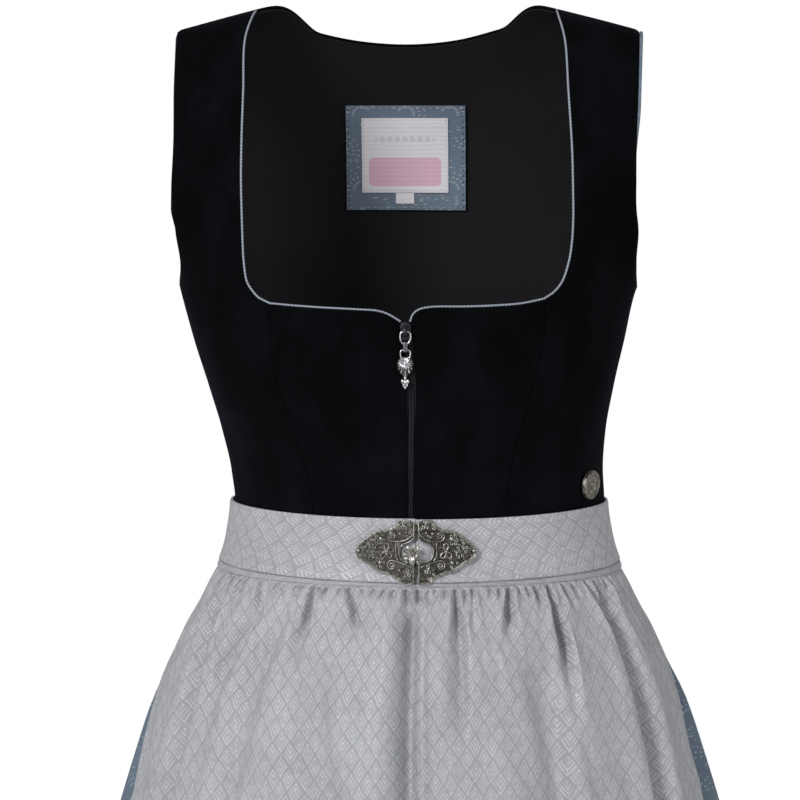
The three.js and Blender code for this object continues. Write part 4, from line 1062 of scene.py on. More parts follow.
def tube(line: Array, radius: Real, sides: int = 8, closed: bool = False,
         flat: float = 1.0, up: Sequence[float] | None = None) -> tuple[Array, Array, Array]:
    """A round or flattened wire along a line, its ends closed to a point.

    Args:
        line: (n, 3) millimetres. radius: number or (n,) array. sides: round. closed: joins its ends.
        flat: share of the radius across the second axis. up: where its first axis points.

    Returns:
        points, quads, uv.
    """
    line = np.asarray(line, float)
    n = len(line)
    radius = np.broadcast_to(np.asarray(radius, float), (n,))
    if closed:
        along = unit(np.roll(line, -1, 0) - np.roll(line, 1, 0))
    else:
        along = unit(np.gradient(line, axis=0))
    if up is None:
        guess = np.array([0, 0, 1.0]) if abs(along[0][2]) < 0.8 else np.array([0, 1.0, 0])
    else:
        guess = np.asarray(up, float)
    frames = []
    side = unit(np.cross(along[0], guess)[None])[0] if up is None else guess
    for t in along:
        side = side - t * np.dot(side, t) if up is None else guess - t * np.dot(guess, t)
        side = side / max(np.linalg.norm(side), 1e-9)
        frames.append(side)
    frames = np.array(frames)
    if closed and up is None:
        last, t = frames[-1], along[0]
        carried = last - t * np.dot(last, t)
        turn = math.atan2(np.dot(np.cross(carried, frames[0]), t), np.dot(carried, frames[0]))
        for i in range(n):
            a = turn * i / n
            frames[i] = frames[i] * math.cos(a) + np.cross(along[i], frames[i]) * math.sin(a)
    other = np.cross(along, frames)
    angle = np.arange(sides) * 2 * math.pi / sides
    ring = (frames[:, None] * np.cos(angle)[None, :, None]
            + other[:, None] * np.sin(angle)[None, :, None] * flat) * radius[:, None, None]
    rings = line[:, None] + ring
    run = np.concatenate([[0], np.cumsum(np.linalg.norm(np.diff(line, axis=0), axis=1))])
    u = np.broadcast_to(angle[None, :] * radius.mean(), (n, sides))
    v = np.broadcast_to(run[:, None], (n, sides))
    uv = np.stack([u, v], -1).reshape(-1, 2) * MM
    if closed:
        ids = np.arange(n * sides).reshape(n, sides)
        nxt = np.roll(ids, -1, 1)
        quads = np.stack([ids, nxt, np.roll(nxt, -1, 0), np.roll(ids, -1, 0)], -1).reshape(-1, 4)
        points = rings.reshape(-1, 3)
        return points, outward(points, quads), uv
    ends = line[0] - along[0] * radius[0] * 0.5, line[-1] + along[-1] * radius[-1] * 0.5
    return *capped(rings, *ends), np.vstack([uv, uv[:1], uv[-1:]])


def capped(rings: Array, low: Sequence[float], high: Sequence[float]) -> tuple[Array, Array]:
    """A closed shape from rings of points with a point at each end.

    Args:
        rings: (n, m, 3). low, high: the points before the first ring and after the last.

    Returns:
        points, quads whose last corner is doubled at the ends.
    """
    n, m = rings.shape[:2]
    ids = np.arange(n * m).reshape(n, m)
    nxt = np.roll(ids, -1, 1)
    first = np.full(m, n * m)
    points = np.vstack([rings.reshape(-1, 3), [low], [high]])
    quads = np.vstack([
        np.stack([ids[:-1], nxt[:-1], nxt[1:], ids[1:]], -1).reshape(-1, 4),
        np.stack([nxt[0], ids[0], first, first], -1),
        np.stack([ids[-1], nxt[-1], first + 1, first + 1], -1),
    ])
    return points, outward(points, quads)


def ball(centre: Sequence[float], radius: float, squash: Sequence[float] = (1, 1, 1),
         rings: int = 8, sides: int = 12) -> tuple[Array, list[tuple[int, ...]]]:
    """A round or squashed ball.

    Args:
        centre: place. radius: size. squash: factors on each axis. rings, sides: its steps.

    Returns:
        points, faces.
    """
    rows = np.arange(1, rings) * math.pi / rings
    turn = np.arange(sides) * 2 * math.pi / sides
    body = np.stack([
        np.sin(rows)[:, None] * np.cos(turn)[None],
        np.sin(rows)[:, None] * np.sin(turn)[None],
        np.broadcast_to(np.cos(rows)[:, None], (rings - 1, sides)),
    ], -1).reshape(-1, 3)
    points = np.vstack([body, [[0, 0, 1]], [[0, 0, -1]]]) * radius * np.asarray(squash) + np.asarray(centre)
    faces = []
    for j in range(rings - 2):
        for k in range(sides):
            m = (k + 1) % sides
            faces.append((j * sides + k, (j + 1) * sides + k, (j + 1) * sides + m, j * sides + m))
    top, low = len(body), len(body) + 1
    for k in range(sides):
        m = (k + 1) % sides
        faces.append((top, k, m))
        faces.append((low, (rings - 2) * sides + m, (rings - 2) * sides + k))
    return points, faces


class Along:
    """A Geometry Nodes tree that sets small shapes at a pitch along a line."""

    def __init__(self, name: str) -> None:
        tree = self.tree = bpy.data.node_groups.new(name, "GeometryNodeTree")
        make = tree.interface.new_socket
        make("Geometry", in_out="INPUT", socket_type="NodeSocketGeometry")
        self.ids = {key: make(key, in_out="INPUT", socket_type="NodeSocket" + kind).identifier
                    for key, kind in (("Pitch", "Float"), ("Size", "Vector"), ("Finish", "Material"))}
        make("Geometry", in_out="OUTPUT", socket_type="NodeSocketGeometry")
        source = add_node(tree, "NodeGroupInput").outputs
        curve = add_node(tree, "GeometryNodeMeshToCurve", {0: source["Geometry"]})
        spaced = add_node(tree, "GeometryNodeResampleCurve",
                          {"Curve": curve.outputs[0], "Length": source["Pitch"]}, mode="LENGTH")
        bead = add_node(tree, "GeometryNodeMeshUVSphere", {"Segments": 8, "Rings": 5, "Radius": 0.5})
        along = add_node(tree, "GeometryNodeInputTangent")
        turn = add_node(tree, "FunctionNodeAlignRotationToVector", {"Vector": along.outputs[0]}, axis="X")
        out = add_node(tree, "GeometryNodeInputNamedAttribute", data_type="FLOAT_VECTOR")
        out.inputs["Name"].default_value = "out"
        face = add_node(tree, "FunctionNodeAlignRotationToVector",
                        {"Rotation": turn.outputs[0], "Vector": out.outputs[0]}, axis="Z", pivot_axis="X")
        place = add_node(tree, "GeometryNodeInstanceOnPoints",
                         {"Points": spaced.outputs[0], "Instance": bead.outputs["Mesh"],
                          "Rotation": face.outputs[0], "Scale": source["Size"]})
        smooth = add_node(tree, "GeometryNodeSetShadeSmooth", {"Geometry": place.outputs[0]})
        real = add_node(tree, "GeometryNodeRealizeInstances", {0: smooth.outputs[0]})
        finish = add_node(tree, "GeometryNodeSetMaterial",
                          {"Geometry": real.outputs[0], "Material": source["Finish"]})
        add_node(tree, "NodeGroupOutput", {0: finish.outputs[0]})

    def run(self, name: str, lines: Sequence[Array], outs: Sequence[Array], pitch: float,
            size: Sequence[float], material: Material) -> Piece:
        """Sets the shapes along lines and makes them a plain mesh.

        Args:
            name: the piece's name. lines: each (n, 3) millimetres. outs: their outward vectors.
            pitch: millimetres. size: along, across and out in millimetres. material: the finish.

        Returns:
            The object.
        """
        points = np.vstack(lines) * MM
        edges, start = [], 0
        for line in lines:
            edges += [(start + i, start + i + 1) for i in range(len(line) - 1)]
            start += len(line)
        mesh = bpy.data.meshes.new(name + "_line")
        mesh.from_pydata(points.tolist(), edges, [])
        layer = mesh.attributes.new("out", "FLOAT_VECTOR", "POINT")
        layer.data.foreach_set("vector", np.vstack(outs).astype(np.float32).ravel())
        made = bpy.data.objects.new(name, mesh)
        bpy.context.scene.collection.objects.link(made)
        modifier = made.modifiers.new("along", "NODES")
        modifier.node_group = self.tree
        modifier[self.ids["Pitch"]] = pitch * MM
        modifier[self.ids["Size"]] = tuple(s * MM for s in size)
        modifier[self.ids["Finish"]] = material
        seen = made.evaluated_get(bpy.context.evaluated_depsgraph_get())
        solid = bpy.data.meshes.new_from_object(seen)
        made.modifiers.remove(modifier)
        made.data = solid
        bpy.data.meshes.remove(mesh)
        if not solid.materials:
            solid.materials.append(material)
        return made


def cosine(n: int) -> Array:
    """Steps from 0 to 1, closer together at both ends.

    Args:
        n: number of steps.

    Returns:
        (n + 1,) values.
    """
    t = np.arange(n + 1) / n
    return 0.5 * t + 0.5 * (0.5 - 0.5 * np.cos(math.pi * t))


def at_share(line: Array, share: Real) -> Array:
    """Places at shares of a flat line's length.

    Args:
        line: (n, 2) dense places. share: 0 to 1.

    Returns:
        (..., 2) places.
    """
    run = np.concatenate([[0], np.cumsum(np.linalg.norm(np.diff(line, axis=0), axis=1))])
    want = np.clip(np.asarray(share, float), 0, 1) * run[-1]
    return np.stack([np.interp(want, run, line[:, k]) for k in (0, 1)], -1)


FRONT_LEVELS = np.array((-338, -327, -316, -300, -280, -258, -236, -212, -194), float)
BACK_LEVELS = np.array((-338, -327, -316, -296, -272, -244, -216, -194, -177), float)
STRAP_ROWS = 12
BACK_HIGH = 10
NECK_POWER, ARM_POWER, TOP_POWER = 1.45, 1.3, 1.6
ARM_SCALE = 1.6
# Left, right, low and top of the flat pieces inside the back
PATCH_BOX = (-45.2, 35.8, -132, -60.3)
LABEL_BOX = (-34.8, 24.2, -120, -68.5)
TAB_BOX = (-11.7, 0.7, -127.6, -120.4)

zip_x = Column(ZIP_LINE, 1)
zip_gap = Column(ZIP_LINE, 2)


@dataclass
class Bodice:
    """The velvet bodice, its lining, label, pipings and bindings."""

    wear: Wardrobe
    seam_dip: float = 0.9
    seam_reach: float = 1.7
    edge_roll: float = 0.7

    def arm(self, rows: Sequence, share: Real, side: int) -> tuple[Array, Array]:
        """Places along an armhole.

        Args:
            rows: its table. share: 0 to 1 from the underarm. side: -1 or 1.

        Returns:
            angle and v.
        """
        dense = smooth_line([(a * ARM_SCALE, z) for a, z in rows], 300)
        p = at_share(dense, np.asarray(share) ** ARM_POWER)
        degrees = p[..., 0] / ARM_SCALE
        if side < 0 and rows is ARM_FRONT:
            wider = 1.2 + 1.0 * np.exp(-((p[..., 1] + 120) / 26) ** 2)
            ends = smoothstep(0.04, 0.3, np.asarray(share)) * (1 - smoothstep(0.8, 1.0, np.asarray(share)))
            degrees = degrees + wider * ends
        angle = side * degrees * RAD
        return angle, BODY_FORM.up_at(angle, p[..., 1])

    def strap(self, side: int, share: Real) -> tuple[Array, Array]:
        """Places along the side of the neckline.

        Args:
            side: -1 or 1. share: 0 to 1 from its corner to the shoulder.

        Returns:
            angle and v.
        """
        rows = (NECK_LEFT if side < 0 else NECK_RIGHT)[::-1]
        p = at_share(smooth_line(rows, 300), np.asarray(share) ** NECK_POWER)
        return BODY_FORM.front_at(p[..., 0], p[..., 1])

    def seam(self, side: int, row: Real) -> tuple[Array, Array]:
        """Places along the princess seam.

        Args:
            side: -1 or 1. row: 0 to 9 up the shared levels.

        Returns:
            angle and v.
        """
        rows = PRINCESS_LEFT if side < 0 else PRINCESS_RIGHT
        z = np.interp(row, np.arange(10), np.append(FRONT_LEVELS, rows[0][1]))
        return BODY_FORM.front_at(Column(rows, 0, along=1)(z), z)

    def folds(self, angle: Real, z: Real) -> Array:
        """Faint drags of the worn velvet.

        Args:
            angle: radians. z: heights.

        Returns:
            Millimetres outward.
        """
        x = 130 * np.sin(angle)
        slow = 0.55 * np.sin(x / 19 + z / 41) * np.sin(z / 33 - x / 57 + 1.3)
        waist = 0.8 * np.exp(-((z + 322) / 17) ** 2) * np.sin(x / 8.5 + 1.5 * np.sin(x / 31) + z / 24)
        drag = 0.5 * np.exp(-((z + 262) / 22) ** 2) * np.sin(z / 6.2 + np.abs(x) / 13)
        return slow + waist + drag * np.exp(-((np.abs(x) - 88) / 26) ** 2)

    def sheet(self, name: str, angle: Real, v: Real, dip: Real, held: Held, rests: Sequence[str]) -> Array:
        """Makes one velvet panel.

        Args:
            name: the piece's name. angle, v: its grid. dip: millimetres inward. held: how it is carried.
            rests: what it lies on.

        Returns:
            Its face, millimetres.
        """
        z = BODY_FORM.point(angle, v)[..., 2]
        move = np.minimum(self.folds(angle, z), 1.6) - dip
        outer = BODY_FORM.place(angle, v, move)
        inner = BODY_FORM.place(angle, v, move - VELVET)
        mesh = Mesh()
        mesh.add(*wall(outer, inner, arc_map(outer)))
        piece = mesh.piece(name + "_cloth", self.wear.velvet, "velvet", name)
        declare(piece, outer, held, rests)
        return outer

    def near_edges(self, grid: Array, left: bool, right: bool, top: bool = False) -> Array:
        """How far each point is turned in at the panel's edges.

        Args:
            grid: face. left, right, top: which edges are.

        Returns:
            Millimetres inward.
        """
        step = np.linalg.norm(np.diff(grid, axis=1), axis=-1)
        run = np.concatenate([np.zeros((len(grid), 1)), np.cumsum(step, 1)], 1)
        rise = np.linalg.norm(np.diff(grid, axis=0), axis=-1)
        up = np.concatenate([np.zeros((1, grid.shape[1])), np.cumsum(rise, 0)], 0)
        dip = np.zeros(run.shape)
        if left:
            dip += self.seam_dip * np.exp(-(run / self.seam_reach) ** 2)
        if right:
            dip += self.seam_dip * np.exp(-((run[:, -1:] - run) / self.seam_reach) ** 2)
        if top:
            dip += self.edge_roll * np.exp(-((up[-1:] - up) / self.seam_reach) ** 2)
        return np.minimum(dip, self.seam_dip)

    def side_panel(self, side: int) -> None:
        """Makes one side of the front with its strap.

        Args:
            side: -1 is the viewer's left.
        """
        rows = np.concatenate([np.linspace(0, 9, 62), np.linspace(9, 9 + STRAP_ROWS, 92)[1:]])
        cols = cosine(42)
        low = rows <= 9
        strap = np.clip((rows - 9) / STRAP_ROWS, 0, 1)
        seam_a, seam_v = self.seam(side, np.minimum(rows, 9))
        neck_a, neck_v = self.strap(side, strap)
        flank_z = np.interp(np.minimum(rows, 9), np.arange(10), np.append(FRONT_LEVELS, -177))
        flank_v = BODY_FORM.up_at(side * math.pi / 2, flank_z)
        arm_a, arm_v = self.arm(ARM_FRONT, strap, side)
        in_a, in_v = np.where(low, seam_a, neck_a), np.where(low, seam_v, neck_v)
        out_a = np.where(low, side * math.pi / 2, arm_a)
        out_v = np.where(low, flank_v, arm_v)
        trim = np.where(low, SEAM / 2 / 130, 0)
        s = cols[None, :]
        angle = lerp((in_a + side * trim)[:, None], (out_a - side * trim)[:, None], s)
        v = lerp(in_v[:, None], out_v[:, None], s)
        v = np.where(rows[:, None] >= 9 + STRAP_ROWS - 1e-6, 2 - 0.0015, v)
        name = "bodice_front_side_" + ("left" if side < 0 else "right")
        dip = self.near_edges(BODY_FORM.point(angle, v), True, True)
        self.sheet(name, angle, v, dip, Held.STRETCHED, ["bodice_back"])

    def centre_panel(self, side: int) -> None:
        """Makes one half of the front's middle, beside the zip.

        Args:
            side: -1 is the viewer's left.
        """
        rows = np.linspace(0, 9, 84)
        s = cosine(44)
        top = TOP_LEFT if side < 0 else TOP_RIGHT
        out_a, out_v = self.seam(side, rows)
        z = np.interp(rows, np.arange(9), FRONT_LEVELS)
        in_a, in_v = BODY_FORM.front_at(zip_x(z) + side * zip_gap(z), z)
        end_a, end_v = BODY_FORM.front_at(*top[-1])
        last = np.clip(rows - 8, 0, 1)
        in_a = np.where(rows > 8, lerp(in_a, end_a, last), in_a)
        in_v = np.where(rows > 8, lerp(in_v, end_v, last), in_v)
        upper = at_share(smooth_line(top[::-1], 300), (1 - s) ** TOP_POWER)
        up_a, up_v = BODY_FORM.front_at(upper[:, 0], upper[:, 1])
        t = ((out_v - out_v[0]) / (out_v[-1] - out_v[0]))[:, None]
        grids = []
        for outer, inner, edge in ((out_a, in_a, up_a), (out_v, in_v, up_v)):
            across = lerp(outer[:, None], inner[:, None], s[None])
            base = lerp(outer[0], inner[0], s)[None]
            rise = lerp(base, edge[None], t)
            flat = lerp(base, lerp(outer[-1], inner[-1], s)[None], t)
            grids.append(across + rise - flat)
        angle, v = grids
        angle = angle - side * SEAM / 2 / 130 * (1 - s[None])
        name = "bodice_front_centre_" + ("left" if side < 0 else "right")
        dip = self.near_edges(BODY_FORM.point(angle, v), True, True)
        self.sheet(name, angle, v, dip, Held.STRETCHED, ["bodice_back"])

    def back_place(self, i: Real, j: Real) -> tuple[Array, Array]:
        """Places of the back panel.

        Args:
            i: 0 to 14 across from the right side seam. j: 0 to 18 up.

        Returns:
            angle and v.
        """
        i, j = np.asarray(i, float), np.asarray(j, float)
        z = np.interp(j, np.arange(9), BACK_LEVELS)
        seam_v = BODY_FORM.up_at(math.pi / 2, z)
        arm_a, arm_v = self.arm(ARM_BACK, np.clip((j - 8) / BACK_HIGH, 0, 1), 1)
        edge_a = np.where(j <= 8, math.pi / 2, arm_a)
        edge_v = np.where(j <= 8, seam_v, arm_v)
        neck = at_share(smooth_line(NECK_BACK, 300), np.clip((i - 2) / 10, 0, 1))
        neck_a, neck_v = BODY_FORM.back_at(neck[:, 0], neck[:, 1])
        top_a = np.where(i < 2, lerp(edge_a[-1], neck_a[0], i / 2), neck_a)
        top_a = np.where(i > 12, lerp(neck_a[-1], 2 * math.pi - edge_a[-1], (i - 12) / 2), top_a)
        top_v = np.where((i < 2) | (i > 12), 2.0, neck_v)
        s = (i / 14)[None]
        t = ((edge_v - edge_v[0]) / (2 - edge_v[0]))[:, None]
        low_a = lerp(math.pi / 2, 1.5 * math.pi, s)
        across = lerp(edge_a[:, None], 2 * math.pi - edge_a[:, None], s)
        flat = lerp(low_a, lerp(top_a[0], top_a[-1], s), t)
        angle = across + lerp(low_a, top_a[None], t) - flat
        v = edge_v[:, None] + lerp(edge_v[0], top_v[None], t) - lerp(edge_v[0], 2.0, t)
        at_shoulder = 1 - smoothstep(2, 4, i) + smoothstep(10, 12, i)
        return angle, v + (2 - v[-1:]) * at_shoulder[None] * smoothstep(16.5, 18, j)[:, None]

    def back_panel(self) -> None:
        """Makes the back and its lining."""
        i = np.concatenate([cosine(24) * 2, 2 + np.linspace(0, 10, 80)[1:], 12 + (cosine(24) * 2)[1:]])
        j = np.linspace(0, 18, 130)
        angle, v = self.back_place(i, j)
        gap = SEAM / 2 / 130
        angle[:, 0] += gap
        angle[:, -1] -= gap
        v[-1] -= 0.0015
        dip = self.near_edges(BODY_FORM.point(angle, v), True, True)
        self.sheet("bodice_back", angle, v, dip, Held.STRETCHED, ["bodice_front_side_left"])
        angle, v = self.back_place(np.linspace(0, 14, 70), np.linspace(0, 18, 80))
        angle[:, 0] += 0.008
        angle[:, -1] -= 0.008
        v[0] += 0.006
        v[-1] -= 0.006
        z = BODY_FORM.point(angle, v)[..., 2]
        move = np.minimum(self.folds(angle, z), 0.2)
        outer = BODY_FORM.place(angle, v, move - LINING_FACE)
        inner = BODY_FORM.place(angle, v, move - LINING_FACE - LINING)
        mesh = Mesh()
        mesh.add(*wall(outer, inner, arc_map(outer)))
        piece = mesh.piece("back_lining_cloth", self.wear.lining, "lining", "back_lining")
        declare(piece, outer, Held.STRETCHED, ["bodice_back"])

    def inside_place(self, x: Real, z: Real, depth: Real) -> Array:
        """A place inside the back.

        Args:
            x: across. z: height. depth: millimetres inward.

        Returns:
            Points, millimetres.
        """
        angle, v = BODY_FORM.back_at(x, z)
        return BODY_FORM.place(angle, v, -np.asarray(depth, float))

    def flat_piece(self, name: str, slot: str, material: Material, box: Sequence[float],
                   near: float, far: float, dome: float) -> tuple[Piece, Array]:
        """Makes a square piece on the inside of the back.

        Args:
            name: the CAD node. slot: its finish's slot. material: the finish.
            box: left, right, low, top. near, far: depths of its two faces.
            dome: how far its middle stands off.

        Returns:
            The piece and its face.
        """
        left, right, low, top = box
        x = lerp(left, right, cosine(40))[None]
        z = lerp(low, top, cosine(40))[:, None]
        x, z = np.broadcast_arrays(x, z)
        px, pz = (x - left) / (right - left), (z - low) / (top - low)
        edge = np.minimum(np.minimum(px, 1 - px) * (right - left), np.minimum(pz, 1 - pz) * (top - low))
        soft = dome * (1 - np.exp(-edge / 3.0)) * (0.7 + 0.3 * np.sin(x / 9 + z / 13))
        face = self.inside_place(x, z, far + soft)
        back = self.inside_place(x, z, near + soft)
        uv = np.stack([-(x - (left + right) / 2), z - (low + top) / 2], -1) * MM
        mesh = Mesh()
        mesh.add(*wall(face, back, uv))
        piece = mesh.piece(name + "_cloth", material, slot, name)
        return piece, face

    def edge_line(self, edge: tuple[Array, Array], away: float, turn: int, closed: bool) -> Array:
        """A line beside an edge, moved off it in the cloth's own surface.

        Args:
            edge: angle and v. away: millimetres. turn: -1 or 1. closed: a ring.

        Returns:
            (n, 3) millimetres.
        """
        angle, v = edge
        base = BODY_FORM.place(angle, v, -VELVET / 2)
        if closed:
            along = np.roll(base, -1, 0) - np.roll(base, 1, 0)
        else:
            along = np.gradient(base, axis=0)
        off = unit(np.cross(along, BODY_FORM.normal(angle, v)))
        return base + off * turn * away

    def trims(self) -> None:
        """Makes the neckline's pipings and the armholes' bindings."""
        for side, word in ((-1, "left"), (1, "right")):
            strap_a, strap_v = self.strap(side, np.linspace(1, 0, 150))
            top = TOP_LEFT if side < 0 else TOP_RIGHT
            low = at_share(smooth_line(top, 300), np.linspace(0, 1, 70)[1:])
            low_a, low_v = BODY_FORM.front_at(low[:, 0], low[:, 1])
            edge = np.concatenate([strap_a, low_a]), np.concatenate([strap_v, low_v])
            edge[1][0] = 2 - 0.002
            line = self.edge_line(edge, 1.0, side, False)
            mesh = Mesh()
            mesh.add(*tube(line, 0.66, 10))
            mesh.piece("neck_piping_" + word + "_cord", self.wear.piping, "piping", "neck_piping_" + word)
            front_a, front_v = self.arm(ARM_FRONT, np.linspace(0, 1, 110)[:-1], side)
            rear_a, rear_v = self.arm(ARM_BACK, np.linspace(0, 1, 110)[1:], side)
            edge = np.concatenate([front_a, rear_a[::-1]]), np.concatenate([front_v, rear_v[::-1]])
            height = BODY_FORM.point(*edge)[:, 2:]
            shown = smoothstep(-95, -60, height) if side > 0 else np.zeros(height.shape)
            thick = 1.1
            line = self.edge_line(edge, 0.2, side, True)
            line = lerp(line - BODY_FORM.normal(*edge) * 2.1, self.edge_line(edge, 1.4, side, True), shown)
            mesh = Mesh()
            mesh.add(*tube(line, thick, 12, closed=True))
            node = "armhole_binding_" + word
            mesh.piece(node + "_strip", self.wear.binding, "binding", node)

    def stitches(self, along: Along) -> None:
        """Sews the square piece and the label.

        Args:
            along: the tree that sets stitches.
        """
        def loop(box: Sequence[float], inset: float, depth: float) -> tuple[list, list]:
            left, right, low, top = box
            left, right, low, top = left + inset, right - inset, low + inset, top - inset
            corners = [(left, low), (right, low), (right, top), (left, top), (left, low)]
            lines, outs = [], []
            for (x0, z0), (x1, z1) in zip(corners[:-1], corners[1:]):
                t = np.linspace(0.01, 0.99, 40)
                x, z = lerp(x0, x1, t), lerp(z0, z1, t)
                angle, v = BODY_FORM.back_at(x, z)
                lines.append(BODY_FORM.place(angle, v, -depth))
                outs.append(-BODY_FORM.normal(angle, v))
            return lines, outs

        pale, dark = self.wear.thread_pale, self.wear.thread_dark
        jobs = (
            ("patch_stitches_pale", (0, 2), PATCH_BOX, 1.6, 6.45, 4.0, (2.4, 0.7, 0.5), pale),
            ("patch_stitches_dark", (1, 3), PATCH_BOX, 1.6, 6.45, 4.0, (1.1, 0.9, 0.5), dark),
            ("label_stitches", (0, 1, 2, 3), LABEL_BOX, 1.2, 7.35, 2.6, (1.3, 0.4, 0.4), pale),
        )
        for name, sides, box, inset, depth, *rest in jobs:
            lines, outs = loop(box, inset, depth)
            piece = along.run(name, [lines[k] for k in sides], [outs[k] for k in sides], *rest)
            carry(piece)

    def build(self, along: Along) -> None:
        """Makes the whole bodice.

        Args:
            along: the tree that sets stitches.
        """
        for side in (-1, 1):
            self.side_panel(side)
            self.centre_panel(side)
        self.back_panel()
        patch, face = self.flat_piece("label_patch", "skirt", self.wear.skirt, PATCH_BOX, 5.0, 6.0, 0.25)
        declare(patch, face, Held.LAID, ["back_lining"])
        tab, _ = self.flat_piece("size_tab", "label", self.wear.tab, TAB_BOX, 6.3, 7.0, 0.2)
        label, face = self.flat_piece("label", "label", self.wear.label, LABEL_BOX, 6.3, 7.3, 0.5)
        declare(label, face, Held.LAID, ["label_patch"])
        self.trims()
        self.stitches(along)
        log.info("bodice made")


@dataclass
class Waistband:
    """The jacquard band with its higher left end and the seam near its lower edge."""

    wear: Wardrobe
    seam_low: float = -356.9
    seam_rise: float = 4.6

    def seam(self, angle: Real) -> Array:
        """Height of the seam, which dips at the front.

        Args:
            angle: radians.

        Returns:
            Heights, millimetres.
        """
        return self.seam_low + self.seam_rise * np.sin(np.asarray(angle) / 2) ** 2 * (1 + np.cos(angle) ** 2)

    def place(self, angle: Real, rise: Real, out: Real) -> Array:
        """A place of the band.

        Args:
            angle: radians, from the join round to it again. rise: 0 to 1 up. out: millimetres.

        Returns:
            Points, millimetres.
        """
        left = smoothstep(math.pi * 1.45, math.pi * 2, angle)
        z = lerp(BAND_LOW_Z, BAND_TOP_Z, rise) + (JOIN_STEP * left + BAND_LIFT * np.sin(angle) ** 2) * rise
        return BODY_FORM.place(angle, BODY_FORM.up_at(angle, z), out)

    def build(self) -> None:
        """Makes the band and a grey line of painted shade along its seam."""
        start = float(BODY_FORM.front_at(JOIN_X + 0.15, WAIST_Z)[0])
        end = float(BODY_FORM.front_at(JOIN_X - 0.15, WAIST_Z)[0]) + 2 * math.pi
        angle = np.linspace(start, end, 560)[None]
        strip, main = cosine(10), cosine(36)
        angle, row = np.broadcast_arrays(angle, np.concatenate([strip, 1 + main[1:]])[:, None])
        fold = self.seam(angle)
        z = np.where(row <= 1, lerp(BAND_LOW_Z, fold, row), lerp(fold, BAND_TOP_Z, row - 1))
        rise = (z - BAND_LOW_Z) / (BAND_TOP_Z - BAND_LOW_Z)
        turn = angle * 120
        ripple = 0.25 * np.sin(turn / 7 + 1.1 * np.sin(turn / 29)) * np.exp(-((z + 358) / 9) ** 2)
        ripple = ripple + 0.18 * np.sin(turn / 23 + z / 14) * np.sin(math.pi * rise)
        far = z - fold
        lap = np.where(far > 0, 0.35 * np.exp(-far / 4), -0.25 * np.exp(far / 3))
        groove = 0.25 * np.exp(-(far / 0.5) ** 2)
        roll = 0.6 * np.exp(-((z - BAND_TOP_Z) / 1.3) ** 2) + 0.3 * np.exp(-((z - BAND_LOW_Z) / 0.6) ** 2)
        move = BAND_OUTSIDE + ripple + lap - groove - roll
        outer = self.place(angle, rise, move)
        inner = self.place(angle, rise, np.full(rise.shape, BAND_INSIDE))
        mesh = Mesh()
        mesh.add(*wall(outer, inner, arc_map(outer)))
        piece = mesh.piece("waistband_cloth", self.wear.band, "band", "waistband")
        declare(piece, outer, Held.STRETCHED, ["bodice_back"])
        # A thin grey tube along the seam: painted shade of the seam's fold
        line_angle = np.linspace(start + 0.004, end - 0.004, 700)
        fold = self.seam(line_angle)
        line = self.place(line_angle, (fold - BAND_LOW_Z) / (BAND_TOP_Z - BAND_LOW_Z), BAND_OUTSIDE - 0.1)
        mesh = Mesh()
        mesh.add(*tube(line, 0.25, 6))
        mesh.piece("waistband_seam", self.wear.seam, "band")
        log.info("waistband made")


